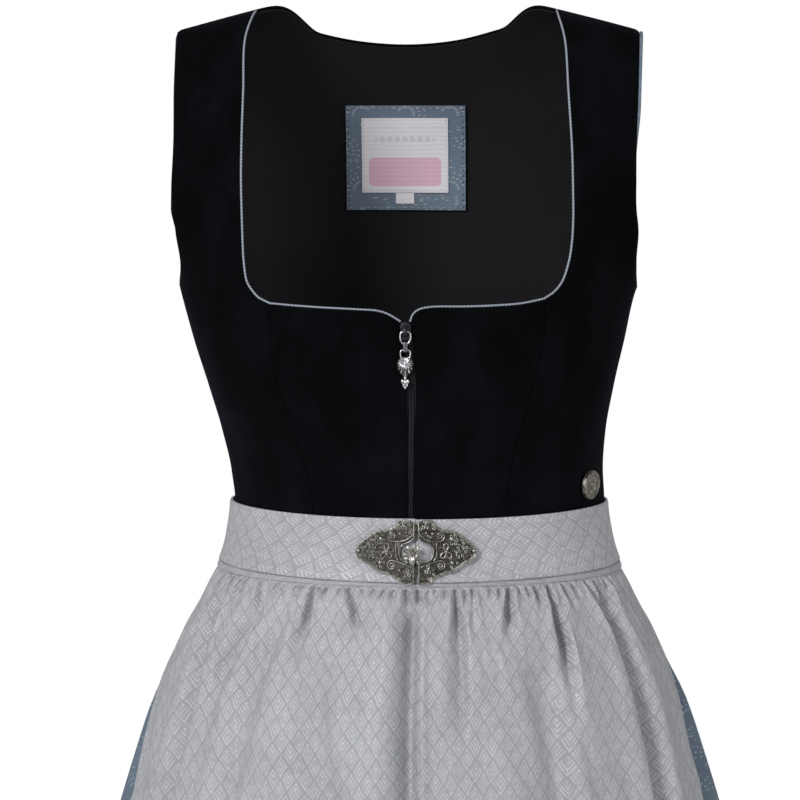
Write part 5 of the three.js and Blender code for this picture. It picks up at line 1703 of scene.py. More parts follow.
@dataclass
class LowerForm:
    """The outer form of the apron and the skirt."""

    def __post_init__(self) -> None:
        rows = list(LOWER)
        sizes = BODY_FORM.width, BODY_FORM.front, BODY_FORM.back
        for z in BAND_HEIGHTS:
            rows.append((z, *(float(size(z)) + BAND_OUTSIDE for size in sizes)))
        self.width, self.front, self.back = (Column(rows, i) for i in (1, 2, 3))
        self.under = Column(UNDER, 1)
        self.left = Column(APRON_EDGE, 1)
        self.right = Column(APRON_EDGE, 2)
        self.swing = Column(SKIRT_SWING, 1)

    def place(self, angle: Real, z: Real, out: Real) -> Array:
        """A place of the form, moved level outward.

        Args:
            angle: radians. z: height. out: millimetres.

        Returns:
            Points, millimetres.
        """
        angle, z, out = np.broadcast_arrays(angle, z, out)
        w, c, s = self.width(z), np.cos(angle), np.sin(angle)
        d = np.where(c > 0, self.front(z), self.back(z))
        n = unit(np.stack([s / w, -c / d, np.zeros_like(s)], -1))
        return np.stack([LOWER_CENTRE + w * s + n[..., 0] * out, -d * c + n[..., 1] * out, z], -1)

    def share(self, degrees: Real, z: Real) -> Array:
        """How far across the apron a place is.

        Args:
            degrees: from the front. z: height.

        Returns:
            0 at the left edge, 1 at the right one.
        """
        return (degrees - self.left(z)) / (self.right(z) - self.left(z))

    def apron_folds(self, degrees: Real, z: Real, puckers: float = 1.0) -> Array:
        """How far the apron's folds move its cloth.

        Args:
            degrees: from the front. z: height. puckers: share of the even gathers' height.

        Returns:
            Millimetres outward.
        """
        degrees, z = np.broadcast_arrays(np.asarray(degrees, float), np.asarray(z, float))
        move = np.zeros(z.shape)
        for fold in APRON_FOLDS:
            depth = fold.depth * (1 - smoothstep(fold.start - 18, fold.start + 4, z))
            if fold.hem_depth == 0:
                depth = depth * smoothstep(fold.end, lerp(fold.start, fold.end, 0.45), z)
            else:
                deeper = 1 - smoothstep(APRON_HEM_Z, -500, z)
                depth = lerp(depth, fold.hem_depth, deeper)
            q = (degrees - self.fold_angle(fold, z)) / fold.half
            move = move + depth * (0.35 * np.exp(-((np.abs(q) - 1.9) ** 2) * 1.4) - np.exp(-q * q))
        s = self.share(degrees, z)
        near = np.minimum(1, np.exp((z + 362) / PUCKER_FADE))
        count = PUCKERS * (s + 0.012 * np.sin(9 * s) + 0.006 * np.sin(25 * s + 1))
        height = puckers * PUCKER_HEIGHT * (0.75 + 0.25 * np.sin(13 * s))
        move = move + height * near * np.cos(2 * math.pi * count)
        wave = HEM_WAVES * (s + 0.03 * np.sin(7 * s + 2)) * 2 * math.pi
        wide = (1 - smoothstep(-900, -470, z)) * (0.8 + 0.2 * np.sin(5 * s))
        return move + HEM_WAVE_HEIGHT * wide * np.cos(wave)

    def apron_creases(self, degrees: Real, z: Real) -> Array:
        """Pinched gathers under the band, crisp edges of the long folds and the small waves between.

        Args:
            degrees: from the front. z: height.

        Returns:
            Millimetres outward.
        """
        move = np.zeros(np.broadcast(degrees, z).shape)
        for pinch in PINCHES:
            t = (PINCH_TOP - z) / (PINCH_TOP - pinch.end)
            q = (degrees - lerp(pinch.top, pinch.foot, np.minimum(t, 1.3))) / (pinch.half * (1 + 0.7 * t))
            fade = smoothstep(PINCH_TOP + 0.6, PINCH_TOP - 2.5, z) * (1 - smoothstep(0.55, 1.25, t))
            lips = np.exp(-((np.abs(q) - 1.7) ** 2) * 1.6)
            move = move + PINCH_DEEPER * pinch.depth * fade * (0.42 * lips - np.exp(-q * q))
        for fold in APRON_FOLDS:
            side = -1.0 if fold.top > 50 else 1.0
            q = side * (degrees - self.fold_angle(fold, z)) / fold.half
            if fold.hem_depth == 0:
                deep = fold.depth * smoothstep(fold.end, lerp(fold.start, fold.end, 0.45), z)
            else:
                deep = fold.depth * lerp(1.0, CRISP_AT_HEM, 1 - smoothstep(APRON_HEM_Z, -500, z))
            deep = deep * (1 - smoothstep(fold.start - 30, fold.start - 4, z)) * FOLD_CRISP * fold.crisp
            core = np.exp(-(((q - 0.45) / np.where(q > 0.45, 0.30, 1.0)) ** 2))
            lip = np.exp(-(((q - 1.25) / 0.42) ** 2))
            move = move + deep * (0.42 * lip - core)
        s = self.share(degrees, z)
        drift = s * 17 + 0.9 * np.sin(z / 41 + s * 6)
        low = smoothstep(-385, -440, z)
        move = move + 0.9 * low * np.sin(2 * math.pi * drift) * np.sin(z / 61 + s * 9)
        slant = s * 31 + (z + 380) / 46 + 1.2 * np.sin(s * 21)
        near = np.exp(-((z + 402) / 24) ** 2)
        return move + 0.5 * near * np.sin(2 * math.pi * slant) * np.sin(s * 37 + z / 19)

    def fold_angle(self, fold: Fold, z: Real) -> Array:
        """Where a fold is at a height.

        Args:
            fold: the fold. z: height.

        Returns:
            Degrees from the front.
        """
        high = lerp(fold.mid, fold.top, np.minimum(1.2, (z - FOLD_MID) / (FOLD_TOP - FOLD_MID)))
        mid = lerp(fold.low, fold.mid, (z - FOLD_LOW) / (FOLD_MID - FOLD_LOW))
        low = lerp(fold.hem, fold.low, (z - APRON_HEM_Z) / (FOLD_LOW - APRON_HEM_Z))
        return np.where(z > FOLD_MID, high, np.where(z > FOLD_LOW, mid, low))

    def skirt_out(self, angle: Real, z: Real) -> Array:
        """How far the skirt's face is from the form.

        Args:
            angle: radians, 0 to 2 pi or about nought. z: height.

        Returns:
            Millimetres outward.
        """
        degrees = angle / RAD
        wrapped = np.where(degrees > 180, degrees - 360, degrees)
        over = np.where(wrapped < 0, self.left(z) - wrapped, wrapped - self.right(z))
        own = smoothstep(1.5, 11, over)
        p = np.mod(angle / (2 * math.pi) + 1, 1)
        turn = math.pi * p
        phase = 2 * math.pi * (SKIRT_FOLDS * p + 0.2 * np.sin(6 * turn) + 0.1 * np.sin(14 * turn + 1))
        uneven = 0.8 + 0.2 * np.sin(10 * turn + 0.7)
        folds = self.swing(z) * uneven * (np.cos(phase) - 0.7)
        open_side = folds - lerp(0.6, 3.0, smoothstep(-384, -360, z))
        near = np.min([self.apron_folds(wrapped + d, z) + np.minimum(self.apron_creases(wrapped + d, z), 0)
                       for d in (-3.1, -1.6, 0, 1.6, 3.1)], 0)
        beneath = near * (1 - smoothstep(-366, -358.5, z)) - self.under(z)
        return lerp(beneath, open_side, own)


@dataclass
class Skirt:
    """The printed skirt and the jacquard apron over it."""

    wear: Wardrobe
    form: LowerForm
    cloth: float = 1.6
    apron_cloth: float = 0.8

    def flat_map(self, angle: Array, z: Array, level: float) -> Array:
        """A cloth map: across by angle, down by slant length.

        Args:
            angle, z: the grid. level: height whose arc the width is taken from as well.

        Returns:
            (rows, columns, 2) metres.
        """
        bare = self.form.place(angle, z, 0.0)
        step = np.linalg.norm(np.diff(bare, axis=1), axis=-1)
        run = np.concatenate([np.zeros((len(bare), 1)), np.cumsum(step, 1)], 1)
        share = run / run[:, -1:]
        row = int(np.argmin(np.abs(z[:, 0] - level)))
        wide = np.sqrt(run[:, -1:] * run[row, -1])
        slant = np.linalg.norm(np.diff(bare[:, bare.shape[1] // 2], axis=0), axis=-1)
        down = np.concatenate([[0], np.cumsum(slant)])
        v = np.broadcast_to(down[:, None], share.shape)
        return np.stack([(share - 0.5) * wide, -v], -1) * MM

    def apron(self) -> None:
        """Makes the apron with its hemmed edges."""
        top = np.linspace(-358.5, -374, 20)
        mid = np.linspace(-374, -410, 22)[1:]
        low = -410 - (978 - 410) * np.linspace(0, 1, 44)[1:] ** 1.25
        z = np.concatenate([top, mid, low])[:, None]
        s = np.linspace(0, 1, 561)[None]
        degrees = lerp(self.form.left(z), self.form.right(z), s)
        z = np.broadcast_to(z, degrees.shape)
        near_band = 1 - smoothstep(-366, -358.5, z)
        move = self.form.apron_folds(degrees, z, 0.3) * near_band + self.form.apron_creases(degrees, z)
        move = move - 1.1 * smoothstep(-359.9, -358.5, z)
        arc = np.linalg.norm(np.diff(self.form.place(degrees * RAD, z, 0.0), axis=1), axis=-1).sum(1)[:, None]
        from_edge = np.minimum(s, 1 - s) * arc
        hem = 0.6 * np.exp(-((from_edge - 5.2) / 0.8) ** 2)
        low_hem = 0.6 * np.exp(-((z - APRON_HEM_Z - 24) / 1.2) ** 2)
        outer = self.form.place(degrees * RAD, z, move - (hem + low_hem) * near_band)
        inner = self.form.place(degrees * RAD, z, move - self.apron_cloth)
        mesh = Mesh()
        mesh.add(*wall(outer, inner, self.flat_map(degrees * RAD, z, -470)))
        piece = mesh.piece("apron_cloth", self.wear.apron, "apron", "apron")
        declare(piece, outer, Held.GATHERED, ["skirt_front", "waistband"])

    def panel(self, name: str, angle: Array, held: Held) -> None:
        """Makes one half of the skirt.

        Args:
            name: the CAD node. angle: its columns. held: how it is carried.
        """
        z = np.concatenate([np.linspace(-338.4, -400, 22), -400 - 608 * np.linspace(0, 1, 70)[1:]])[:, None]
        angle, z = np.broadcast_arrays(angle[None], z)
        out = self.form.skirt_out(angle, z)
        hem = 0.7 * np.exp(-((z - SKIRT_HEM_Z - 28) / 1.2) ** 2)
        outer = self.form.place(angle, z, out - hem)
        inner = self.form.place(angle, z, out - self.cloth)
        mesh = Mesh()
        mesh.add(*wall(outer, inner, self.flat_map(angle, z, -600)))
        piece = mesh.piece(name + "_cloth", self.wear.skirt, "skirt", name)
        declare(piece, outer, held, ["waistband"])

    def build(self) -> None:
        """Makes the apron and both halves of the skirt."""
        self.apron()
        end = 92 - 0.09
        self.panel("skirt_front", np.linspace(-end, end, 300) * RAD, Held.GATHERED)
        self.panel("skirt_back", np.linspace(92.09, 267.91, 420) * RAD, Held.GATHERED)
        log.info("apron and skirt made")


class Joiner:
    """Moves shapes made in a flat drawing onto the bodice or the band."""

    def __init__(self, origin: Array, turn: Array) -> None:
        self.origin = np.asarray(origin, float)
        self.turn = np.asarray(turn, float)

    def __call__(self, points: Real) -> Array:
        """Places points.

        Args:
            points: (..., 3) in the drawing: right, outward (negative), up.

        Returns:
            Points, millimetres.
        """
        return np.asarray(points, float) @ self.turn.T + self.origin

    def out(self) -> Array:
        """The outward direction."""
        return -self.turn[:, 1]


def turn_x(angle: float) -> Array:
    """Rotation about X by radians."""
    c, s = math.cos(angle), math.sin(angle)
    return np.array([[1, 0, 0], [0, c, -s], [0, s, c]])


def turn_z(angle: float) -> Array:
    """Rotation about Z by radians."""
    c, s = math.cos(angle), math.sin(angle)
    return np.array([[c, -s, 0], [s, c, 0], [0, 0, 1]])


def closed_curve(rows: Sequence[Sequence[float]], n: int) -> Array:
    """A smooth closed line through flat points.

    Args:
        rows: its points. n: number of places.

    Returns:
        (n, 2) places.
    """
    p = np.asarray(rows, float)
    k = len(p)
    t = np.arange(n) / n * k
    i = t.astype(int)
    f = (t - i)[:, None]
    a, b, c, d = p[(i - 1) % k], p[i % k], p[(i + 1) % k], p[(i + 2) % k]
    return 0.5 * (2 * b + (c - a) * f + (2 * a - 5 * b + 4 * c - d) * f**2 + (3 * b - a - 3 * c + d) * f**3)


@dataclass
class Zip:
    """The tape, the coil, the slider and the pull with its pendant."""

    wear: Wardrobe
    hinge_drop: float = 7.2
    bail_drop: float = 11.1
    head_x: float = 2.9
    head_z: float = -198.0
    head_out: float = 3.3

    def joiner(self) -> Joiner:
        """The pull's place on the bodice."""
        foot = BODY_FORM.place(*BODY_FORM.front_at(self.head_x, -232.0), 0.0)
        head = BODY_FORM.place(*BODY_FORM.front_at(self.head_x, self.head_z), 0.0)
        slope = math.atan2(head[1] - foot[1], head[2] - foot[2])
        return Joiner(head + np.array([0, -self.head_out, 0]), turn_x(-slope))

    def tape(self, along: Along) -> None:
        """Makes the tape and its coil.

        Args:
            along: the tree that sets the coil's turns.
        """
        across = np.array([-6.5, -5, -3.2, -2.2, -2.0, -1.4, 0, 1.4, 2.0, 2.2, 3.2, 5, 6.5])
        raised = np.array([0, 0, 0, 0, 0.3, 0.7, 0.7, 0.7, 0.3, 0, 0, 0, 0])
        z = np.linspace(-338, -193.2, 90)[:, None]
        x = zip_x(z) + across[None]
        x, z = np.broadcast_arrays(x, z)
        angle, v = BODY_FORM.front_at(x, z)
        outer = BODY_FORM.place(angle, v, -VELVET - 0.5 + raised[None])
        inner = BODY_FORM.place(angle, v, np.full(x.shape, -VELVET - 0.5 - LINING))
        mesh = Mesh()
        mesh.add(*wall(outer, inner, arc_map(outer)))
        piece = mesh.piece("zip_tape_cloth", self.wear.tape, "zip", "zip_tape")
        declare(piece, outer, Held.STRETCHED, ["bodice_front_side_left"])
        lines, outs = [], []
        for shift in (-0.85, 0.85):
            zz = np.linspace(-337, -194.5, 160)
            a, u = BODY_FORM.front_at(zip_x(zz) + shift, zz)
            lines.append(BODY_FORM.place(a, u, -VELVET - 0.5 + 1.15))
            outs.append(BODY_FORM.normal(a, u))
        coil = along.run("zip_coil", lines, outs, 1.25, (0.85, 1.9, 0.9), self.wear.coil)
        carry(coil)
        mesh = Mesh()
        for shift in (-2.35, 2.35):
            zz = np.linspace(-337.6, -193.4, 120)
            a, u = BODY_FORM.front_at(zip_x(zz) + shift, zz)
            mesh.add(*tube(BODY_FORM.place(a, u, -VELVET + 0.35), 0.35, 6))
        mesh.piece("zip_edge_cords", self.wear.thread_dark, "zip")

    def slider(self, lay: Joiner) -> None:
        """Makes the slider's body with its bridge.

        Args:
            lay: the pull's place.
        """
        mesh = Mesh(lay)
        rows = np.array(((5.9, 1.2), (5.2, 2.4), (4.2, 3.1), (2.4, 3.4), (0.2, 3.1), (-1.6, 2.7), (-3.9, 2.6),
                         (-5.0, 1.9)))
        levels = np.linspace(0, len(rows) - 1, 25)
        z, half = (np.interp(levels, range(len(rows)), column)[:, None] for column in rows.T)
        turn = np.arange(28) * 2 * math.pi / 28
        x = half * (np.sign(np.cos(turn)) * np.abs(np.cos(turn)) ** 0.45)[None]
        y = 1.7 + 0.6 * (np.sign(np.sin(turn)) * np.abs(np.sin(turn)) ** 0.6)[None] + 0 * x
        mesh.add(*capped(np.stack([x, y, z + 0 * x], -1), (0, 1.7, 6.1), (0, 1.7, -5.2)))
        bridge = np.array([(0, 1.0, 3.9), (0, 0.1, 3.4), (0, -0.75, 2.0), (0, -1.15, 0.6), (0, -1.25, -0.4),
                           (0, -1.0, -1.4), (0, -0.2, -2.2), (0, 1.1, -2.7)], float)
        t = np.linspace(0, len(bridge) - 1, 30)
        line = np.stack([np.interp(t, range(len(bridge)), bridge[:, k]) for k in range(3)], 1)
        mesh.add(*tube(line, 1.35, 14, flat=0.26, up=(1, 0, 0)))
        mesh.piece("zip_slider_cast", self.wear.slider, "slider", "zip_slider")

    def pull(self, lay: Joiner) -> None:
        """Makes the ring, the link and the pendant.

        Args:
            lay: the pull's place.
        """
        ring = closed_curve(((-1.9, 0.05), (0, 0), (1.9, 0.05), (2.95, -0.9), (3.25, -3.0), (2.75, -5.4),
                             (1.5, -6.95), (0, -self.hinge_drop), (-1.5, -6.95), (-2.75, -5.4),
                             (-3.25, -3.0), (-2.95, -0.9)), 96)
        line = np.stack([ring[:, 0], 0 * ring[:, 0], ring[:, 1]], 1)
        mesh = Mesh(lay)
        mesh.add(*tube(line, 0.55, 14, closed=True))
        mesh.piece("zip_ring_wire", self.wear.silver, "silver", "zip_ring", "pull_ring")

        mesh = Mesh(lay)
        low, high = -self.bail_drop, -self.hinge_drop
        turn = np.linspace(0, 2 * math.pi, 73)[:-1]
        loop_z = np.where(np.cos(turn) > 0, high, low) + 1.05 * np.cos(turn)
        loop = np.stack([0 * turn, 1.05 * np.sin(turn), loop_z], 1)
        mesh.add(*tube(loop, 1.25, 16, closed=True, flat=0.28, up=(1, 0, 0)))
        mesh.piece("zip_link_band", self.wear.link, "slider", "zip_link", "pull_pendant")

        mesh = Mesh(lay)
        top = low
        bail = closed_curve(((-1.9, top), (0, top + 0.05), (1.9, top), (2.9, top - 0.9), (3.0, top - 2.8),
                             (2.4, top - 4.6), (0, top - 5.2), (-2.4, top - 4.6), (-3.0, top - 2.8),
                             (-2.9, top - 0.9)), 90)
        line = np.stack([bail[:, 0], 0 * bail[:, 0], bail[:, 1]], 1)
        mesh.add(*tube(line, 0.52, 12, closed=True))
        ground = Mesh(lay)
        self.shell(ground, mesh, top - 4.6)
        ground.piece("zip_pendant_ground", self.wear.plate, "silver", body="pull_pendant")
        mesh.piece("zip_pendant_cast", self.wear.silver, "silver", "zip_pendant", "pull_pendant", 40)

    def shell(self, ground: Mesh, mesh: Mesh, top: float) -> None:
        """Makes the shell with its boss, two rows of ribs, petals and bud.

        Args:
            ground: takes the shell's dark body. mesh: takes the bright shapes.
            top: height of the shell's upper edge.
        """
        rows = np.array(((0.3, 1.6), (-0.3, 3.0), (-1.2, 4.2), (-2.6, 4.9), (-4.2, 5.1), (-6.0, 4.7),
                         (-7.8, 3.8), (-9.4, 2.7), (-10.9, 1.7), (-12.2, 0.8)))
        t = np.linspace(0, len(rows) - 1, 46)
        z, half = (np.interp(t, range(len(rows)), column)[:, None] for column in rows.T)
        turn = (np.arange(48) * 2 * math.pi / 48)[None]
        x = half * np.cos(turn)
        thick = np.where(np.sin(turn) < 0, 1.25, 0.55) * (half / 5.1) ** 0.7
        rings = np.stack([x, np.sin(turn) * thick, z + top + 0 * x], -1)
        ground.add(*capped(rings, (0, 0, top + 0.35), (0, 0, top - 12.5)))
        heart = -3.2
        for near, far, phase in ((1.3, 3.9, 0.0), (4.5, 9.2, 0.5)):
            for k in range(15):
                a = 2 * math.pi * (k + phase) / 15
                r = np.linspace(near, far, 14)
                rx, rz = r * math.sin(a), heart + r * math.cos(a)
                wide = np.interp(-rz, -rows[:, 0], rows[:, 1])
                kept = (np.abs(rx) < 0.99 * wide) & (rz < 0.2) & (rz > -12.0)
                if kept.sum() < 3:
                    continue
                rx, rz, wide = rx[kept], rz[kept], wide[kept]
                ry = -1.25 * (wide / 5.1) ** 0.7 * np.sqrt(np.clip(1 - (rx / wide) ** 2, 0, 1))
                girth = np.interp(r[kept], (near, (near + far) / 2, far), (0.26, 0.50, 0.46))
                mesh.add(*tube(np.stack([rx, ry, rz + top], 1), girth, 8))
        mesh.add(*ball((0, -1.5, top + heart), 1.3, (1, 0.75, 1), 10, 18))
        for x0, z0, r in ((0, -12.5, 1.0), (-1.55, -14.6, 1.35), (1.55, -14.6, 1.35), (0, -15.2, 1.5),
                          (-0.9, -16.8, 1.1), (0.9, -16.8, 1.1), (0, -18.3, 0.8)):
            mesh.add(*ball((x0, -0.25 - 0.5 * (x0 == 0), top + z0), r, (0.8, 0.6, 1.1), 8, 14))

    def build(self, along: Along) -> None:
        """Makes the whole zip.

        Args:
            along: the tree that sets the coil's turns.
        """
        self.tape(along)
        lay = self.joiner()
        self.slider(lay)
        self.pull(lay)
        log.info("zip made")


CLASP_OUTLINE = (
    (0.5, 18.4), (3, 19.6), (7, 20.1), (10.4, 19.5), (11.2, 17.2), (14.4, 15.2), (18.4, 13.8),
    (22.6, 13.4), (27, 11.4), (31.8, 7.6), (36, 4.0), (37.6, 0.4), (36.9, -2.8), (34.4, -5.2),
    (30, -7.6), (25.4, -11.2), (21.8, -13), (17.8, -13.6), (14.2, -15.4), (10.2, -17.8),
    (8.8, -19.7), (4.6, -20.5), (0.5, -19.6),
)
CLASP_OPENING = (
    (0.5, -6.4), (3.4, -6.0), (6.6, -5.2), (8.8, -3.4), (9.7, -0.4), (9.2, 2.6), (7.2, 4.6),
    (4.2, 5.8), (1.8, 7.4), (0.5, 9.0),
)

CLASP_SCROLLS = (
    ((14.4, 10.0), -1.57, 1.7, ((0.9, 13.0), (2.0, 10.6), (4.4, 8.4), (7.6, 7.1), (10.8, 6.7))),
    ((14.5, -8.4), 1.57, -1.7, ((1.2, -9.8), (4.2, -8.3), (7.4, -7.2), (10.8, -6.0))),
)
CLASP_OVAL = ((12.3, 5.9), (12.0, 3.4), (12.2, 0.4), (11.8, -2.8), (10.4, -5.2))
CLASP_GRAINS = (
    (21.5, 8.3, 1.45), (21.8, -6.5, 1.45), (35.4, 0.7, 1.15), (18.6, 13.0, 0.8), (18.4, -12.6, 0.7),
    (26.4, 4.6, 0.8), (26.2, -3.6, 0.8), (9.6, 11.6, 0.8), (9.8, -11.2, 0.75), (5.6, 12.0, 0.7),
)
FLOWER_WIDE = (18.0, 0.5)
# Leaves of the raised flower: degrees, length, half width
FLOWER_LEAVES = ((128, 5.4, 1.9), (56, 5.2, 1.8), (204, 5.8, 1.7), (268, 6.2, 1.6), (338, 3.4, 1.3))
FILL_STEP = 2.75
BOX_FACES = ((0, 1, 3, 2), (4, 6, 7, 5), (0, 4, 5, 1), (2, 3, 7, 6), (0, 2, 6, 4), (1, 5, 7, 3))


@dataclass
class Clasp:
    """The two halves of the wirework clasp and the flower over their join."""

    wear: Wardrobe
    x: float = 8.8
    z: float = -337.3
    reach: float = 19.0
    thick: float = 0.9

    def joiner(self, side: int) -> Joiner:
        """The place of one half.

        Args:
            side: -1 or 1.

        Returns:
            Its mover.
        """
        at = self.x + side * self.reach
        a, v = BODY_FORM.front_at(at, self.z)
        n = BODY_FORM.normal(a, v)
        p = BODY_FORM.place(a, v, BAND_OUTSIDE + 1.5)
        high = BODY_FORM.place(*BODY_FORM.front_at(at, BAND_TOP_Z), 0.0)
        low = BODY_FORM.place(*BODY_FORM.front_at(at, -353.0), 0.0)
        yaw = math.atan2(n[0], -n[1])
        pitch = math.atan2(high[1] - low[1], high[2] - low[2])
        return Joiner(p, turn_z(yaw) @ turn_x(-pitch))

    def flat(self, side: int, places: Sequence, height: Real) -> Array:
        """Turns drawing places into a half's own space.

        Args:
            side: -1 or 1. places: (n, 2) from the slit and up. height: millimetres outward.

        Returns:
            (n, 3).
        """
        places = np.asarray(places, float)
        height = np.broadcast_to(np.asarray(height, float), (len(places),))
        return np.stack([side * places[:, 0] - side * self.reach, -height, places[:, 1]], 1)

    def outline(self) -> Array:
        """The half's outline with its opening, smooth."""
        a = smooth_line(CLASP_OUTLINE, 150)
        b = smooth_line(CLASP_OPENING, 70)
        return np.vstack([a, b])

    def inset(self, line: Array, by: float) -> Array:
        """A flat closed line moved inward.

        Args:
            line: (n, 2). by: millimetres.

        Returns:
            (n, 2).
        """
        along = unit(np.roll(line, -2, 0) - np.roll(line, 2, 0))
        area = np.sum(line[:, 0] * np.roll(line[:, 1], -1) - np.roll(line[:, 0], -1) * line[:, 1])
        normal = np.stack([-along[:, 1], along[:, 0]], 1) * (1 if area > 0 else -1)
        return line + normal * by

    def plate(self, side: int, lay: Joiner) -> Mesh:
        """Makes the thin blackened plate behind the wires.

        Args:
            side: -1 or 1. lay: its place.

        Returns:
            The mesh.
        """
        flat = bmesh.new()
        line = self.outline()
        corners = [flat.verts.new((float(u), float(w), 0.0)) for u, w in line]
        flat.faces.new(corners)
        bmesh.ops.triangulate(flat, faces=flat.faces[:])
        flat.verts.index_update()
        tris = np.array([[v.index for v in f.verts] for f in flat.faces])
        flat.free()
        n = len(line)
        low, high = self.flat(side, line, 0.1), self.flat(side, line, self.thick)
        ring = [(i, (i + 1) % n, (i + 1) % n + n, i + n) for i in range(n)]
        points = np.vstack([low, high])
        faces = [tuple(t) for t in tris[:, ::-1]] + [tuple(t + n) for t in tris] + ring
        probe = np.array([list(t) for t in faces if len(t) == 3])
        a, b, c = points[probe[:, 0]], points[probe[:, 1]], points[probe[:, 2]]
        quads = np.array(ring)
        total = np.einsum("ij,ij->", a, np.cross(b, c))
        p = points[quads]
        total += np.einsum("ij,ij->", p[:, 0], np.cross(p[:, 1], p[:, 2]))
        total += np.einsum("ij,ij->", p[:, 0], np.cross(p[:, 2], p[:, 3]))
        if total < 0:
            faces = [tuple(reversed(f)) for f in faces]
        mesh = Mesh(lay)
        mesh.add(points, faces)
        if side < 0:
            for low_w, high_w in ((-19.2, -6.4), (9.0, 18.0)):
                box = [(self.reach + x, y, w)
                       for w in (low_w, high_w) for y in (-0.15, -0.6) for x in (-0.8, 0.7)]
                mesh.add(np.array(box), BOX_FACES)
        return mesh

    def spiral(self, centre: Sequence[float], start: float, turns: float, big: float, small: float,
               n: int = 60) -> Array:
        """A flat spiral.

        Args:
            centre: its middle. start: radians at the outer end. turns: how many, signed.
            big, small: radii at its ends. n: places.

        Returns:
            (n, 2).
        """
        t = np.linspace(0, 1, n)
        r = big * (small / big) ** t
        a = start + turns * 2 * math.pi * t
        return np.stack([centre[0] + r * np.cos(a), centre[1] + r * np.sin(a)], 1)

    def inside(self, place: Sequence[float], line: Array, rim: float) -> bool:
        """Whether a flat place is inside a closed line and away from it.

        Args:
            place: (u, w). line: (n, 2). rim: the least distance.

        Returns:
            True when it is.
        """
        u, w = line[:, 0], line[:, 1]
        next_u, next_w = np.roll(u, -1), np.roll(w, -1)
        span = np.where(next_w == w, 1.0, next_w - w)
        at = (next_u - u) * (place[1] - w) / span + u
        crossed = ((w > place[1]) != (next_w > place[1])) & (place[0] < at)
        return bool(crossed.sum() % 2) and np.hypot(u - place[0], w - place[1]).min() > rim

    def wires(self, side: int, lay: Joiner) -> tuple[Mesh, list, list]:
        """Makes the wires of one half and the lines that carry its granules.

        Args:
            side: -1 or 1. lay: its place.

        Returns:
            The mesh, the lines and their outward vectors.
        """
        mesh = Mesh(lay)
        top = self.thick + 0.3

        def wire(places: Sequence, radius: float, height: float, sides: int = 7,
                 closed: bool = False) -> None:
            mesh.add(*tube(self.flat(side, places, height), radius, sides, closed=closed))

        def grain(place: Sequence, radius: float, squash: float = 0.9, rings: int = 7,
                  sides: int = 10) -> None:
            points, faces = ball((0, 0, 0), radius, (1, squash, 1), rings, sides)
            mesh.add(points + self.flat(side, [place], top + radius * 0.3), faces)

        def petal(centre: Sequence, size: float, angle: float, wide: float, thick: float) -> None:
            t = np.linspace(0, 2 * math.pi, 21)[:-1]
            u = size * 0.58 + size * 0.42 * np.cos(t)
            w = size * wide * np.sin(t) * (1.1 + 0.3 * np.cos(t))
            c, s = math.cos(angle), math.sin(angle)
            line = np.stack([centre[0] + u * c - w * s, centre[1] + u * s + w * c], 1)
            wire(line, thick, top + 0.2, 6, True)

        edge = self.outline()
        rim = smooth_line(CLASP_OUTLINE, 150)
        wire(self.inset(edge, 0.4), 0.4, self.thick + 0.2, 8, True)
        wire(self.inset(edge, 1.5)[4:146], 0.26, self.thick + 0.2)
        named = [rim]
        for centre, start, turns, tail in CLASP_SCROLLS:
            curl = self.spiral(centre, start, turns, 3.2, 0.75)
            arm = smooth_line([*tail, tuple(curl[0])], 30)
            wire(np.vstack([arm[:-1], curl]), 0.4, top + 0.1, 8)
            grain(curl[-1], 0.6)
            named += [arm, *(self.spiral(centre, start, 1.0, r, r, n) for r, n in ((3.1, 30), (1.4, 12)))]
        oval = smooth_line(CLASP_OVAL, 40)
        wire(oval, 0.36, top + 0.1, 8)
        named.append(oval)
        flowers = ((FLOWER_WIDE, 4.9, 5), ((7.2, 16.5) if side < 0 else (5.0, 17.0), 2.6, 5),
                   ((4.4, -12.9) if side < 0 else (6.6, -10.8), 2.6, 5))
        for centre, size, count in flowers:
            for k in range(count):
                petal(centre, size, 2 * math.pi * (k + 0.25) / count, 0.26, 0.3)
            grain(centre, size * 0.2)
            named += [self.spiral(centre, 0, 1.0, size * k, size * k, 16) for k in (0.25, 0.6, 0.9)]
        for u, w, radius in CLASP_GRAINS:
            grain((u, w), radius, 0.8, 9, 14)
            named.append(np.array([(u, w)]))
        taken = np.vstack(named)
        count = 0
        for j in range(-8, 9):
            for i in range(1, 15):
                u, w = FILL_STEP * (i + 0.5 * (j % 2)) - 0.6, FILL_STEP * 0.87 * j + 0.3
                near = np.hypot(taken[:, 0] - u, taken[:, 1] - w).min()
                if near < 1.25 or not self.inside((u, w), edge, 1.7):
                    continue
                count += 1
                if count % 3 == 0:
                    turn = 2.4 * count
                    petal((u - 1.1 * math.cos(turn), w - 1.1 * math.sin(turn)), 2.0, turn, 0.32, 0.24)
                elif count % 3 == 1:
                    curl = self.spiral((u, w), 2.4 * count, 1.2 if count % 2 else -1.2, 1.2, 0.4, 22)
                    wire(curl, 0.25, top, 6)
                else:
                    wire(self.spiral((u, w), 2.4 * count, 0.6, 1.15, 1.15, 12), 0.24, top, 6)
                    grain((u, w), 0.52, 0.8, 6, 8)
        line = lay(self.flat(side, self.inset(rim, 0.95)[3:-3], self.thick + 0.3))
        return mesh, [line], [np.broadcast_to(lay.out(), line.shape)]

    def flower(self, lay: Joiner) -> Mesh:
        """Makes the raised flower, the leaf down the slit and the balls round it.

        Args:
            lay: the left half's place.

        Returns:
            The mesh.
        """
        mesh = Mesh(lay)
        centre = np.array([self.reach - 1.2, -(self.thick + 1.5), -0.8])

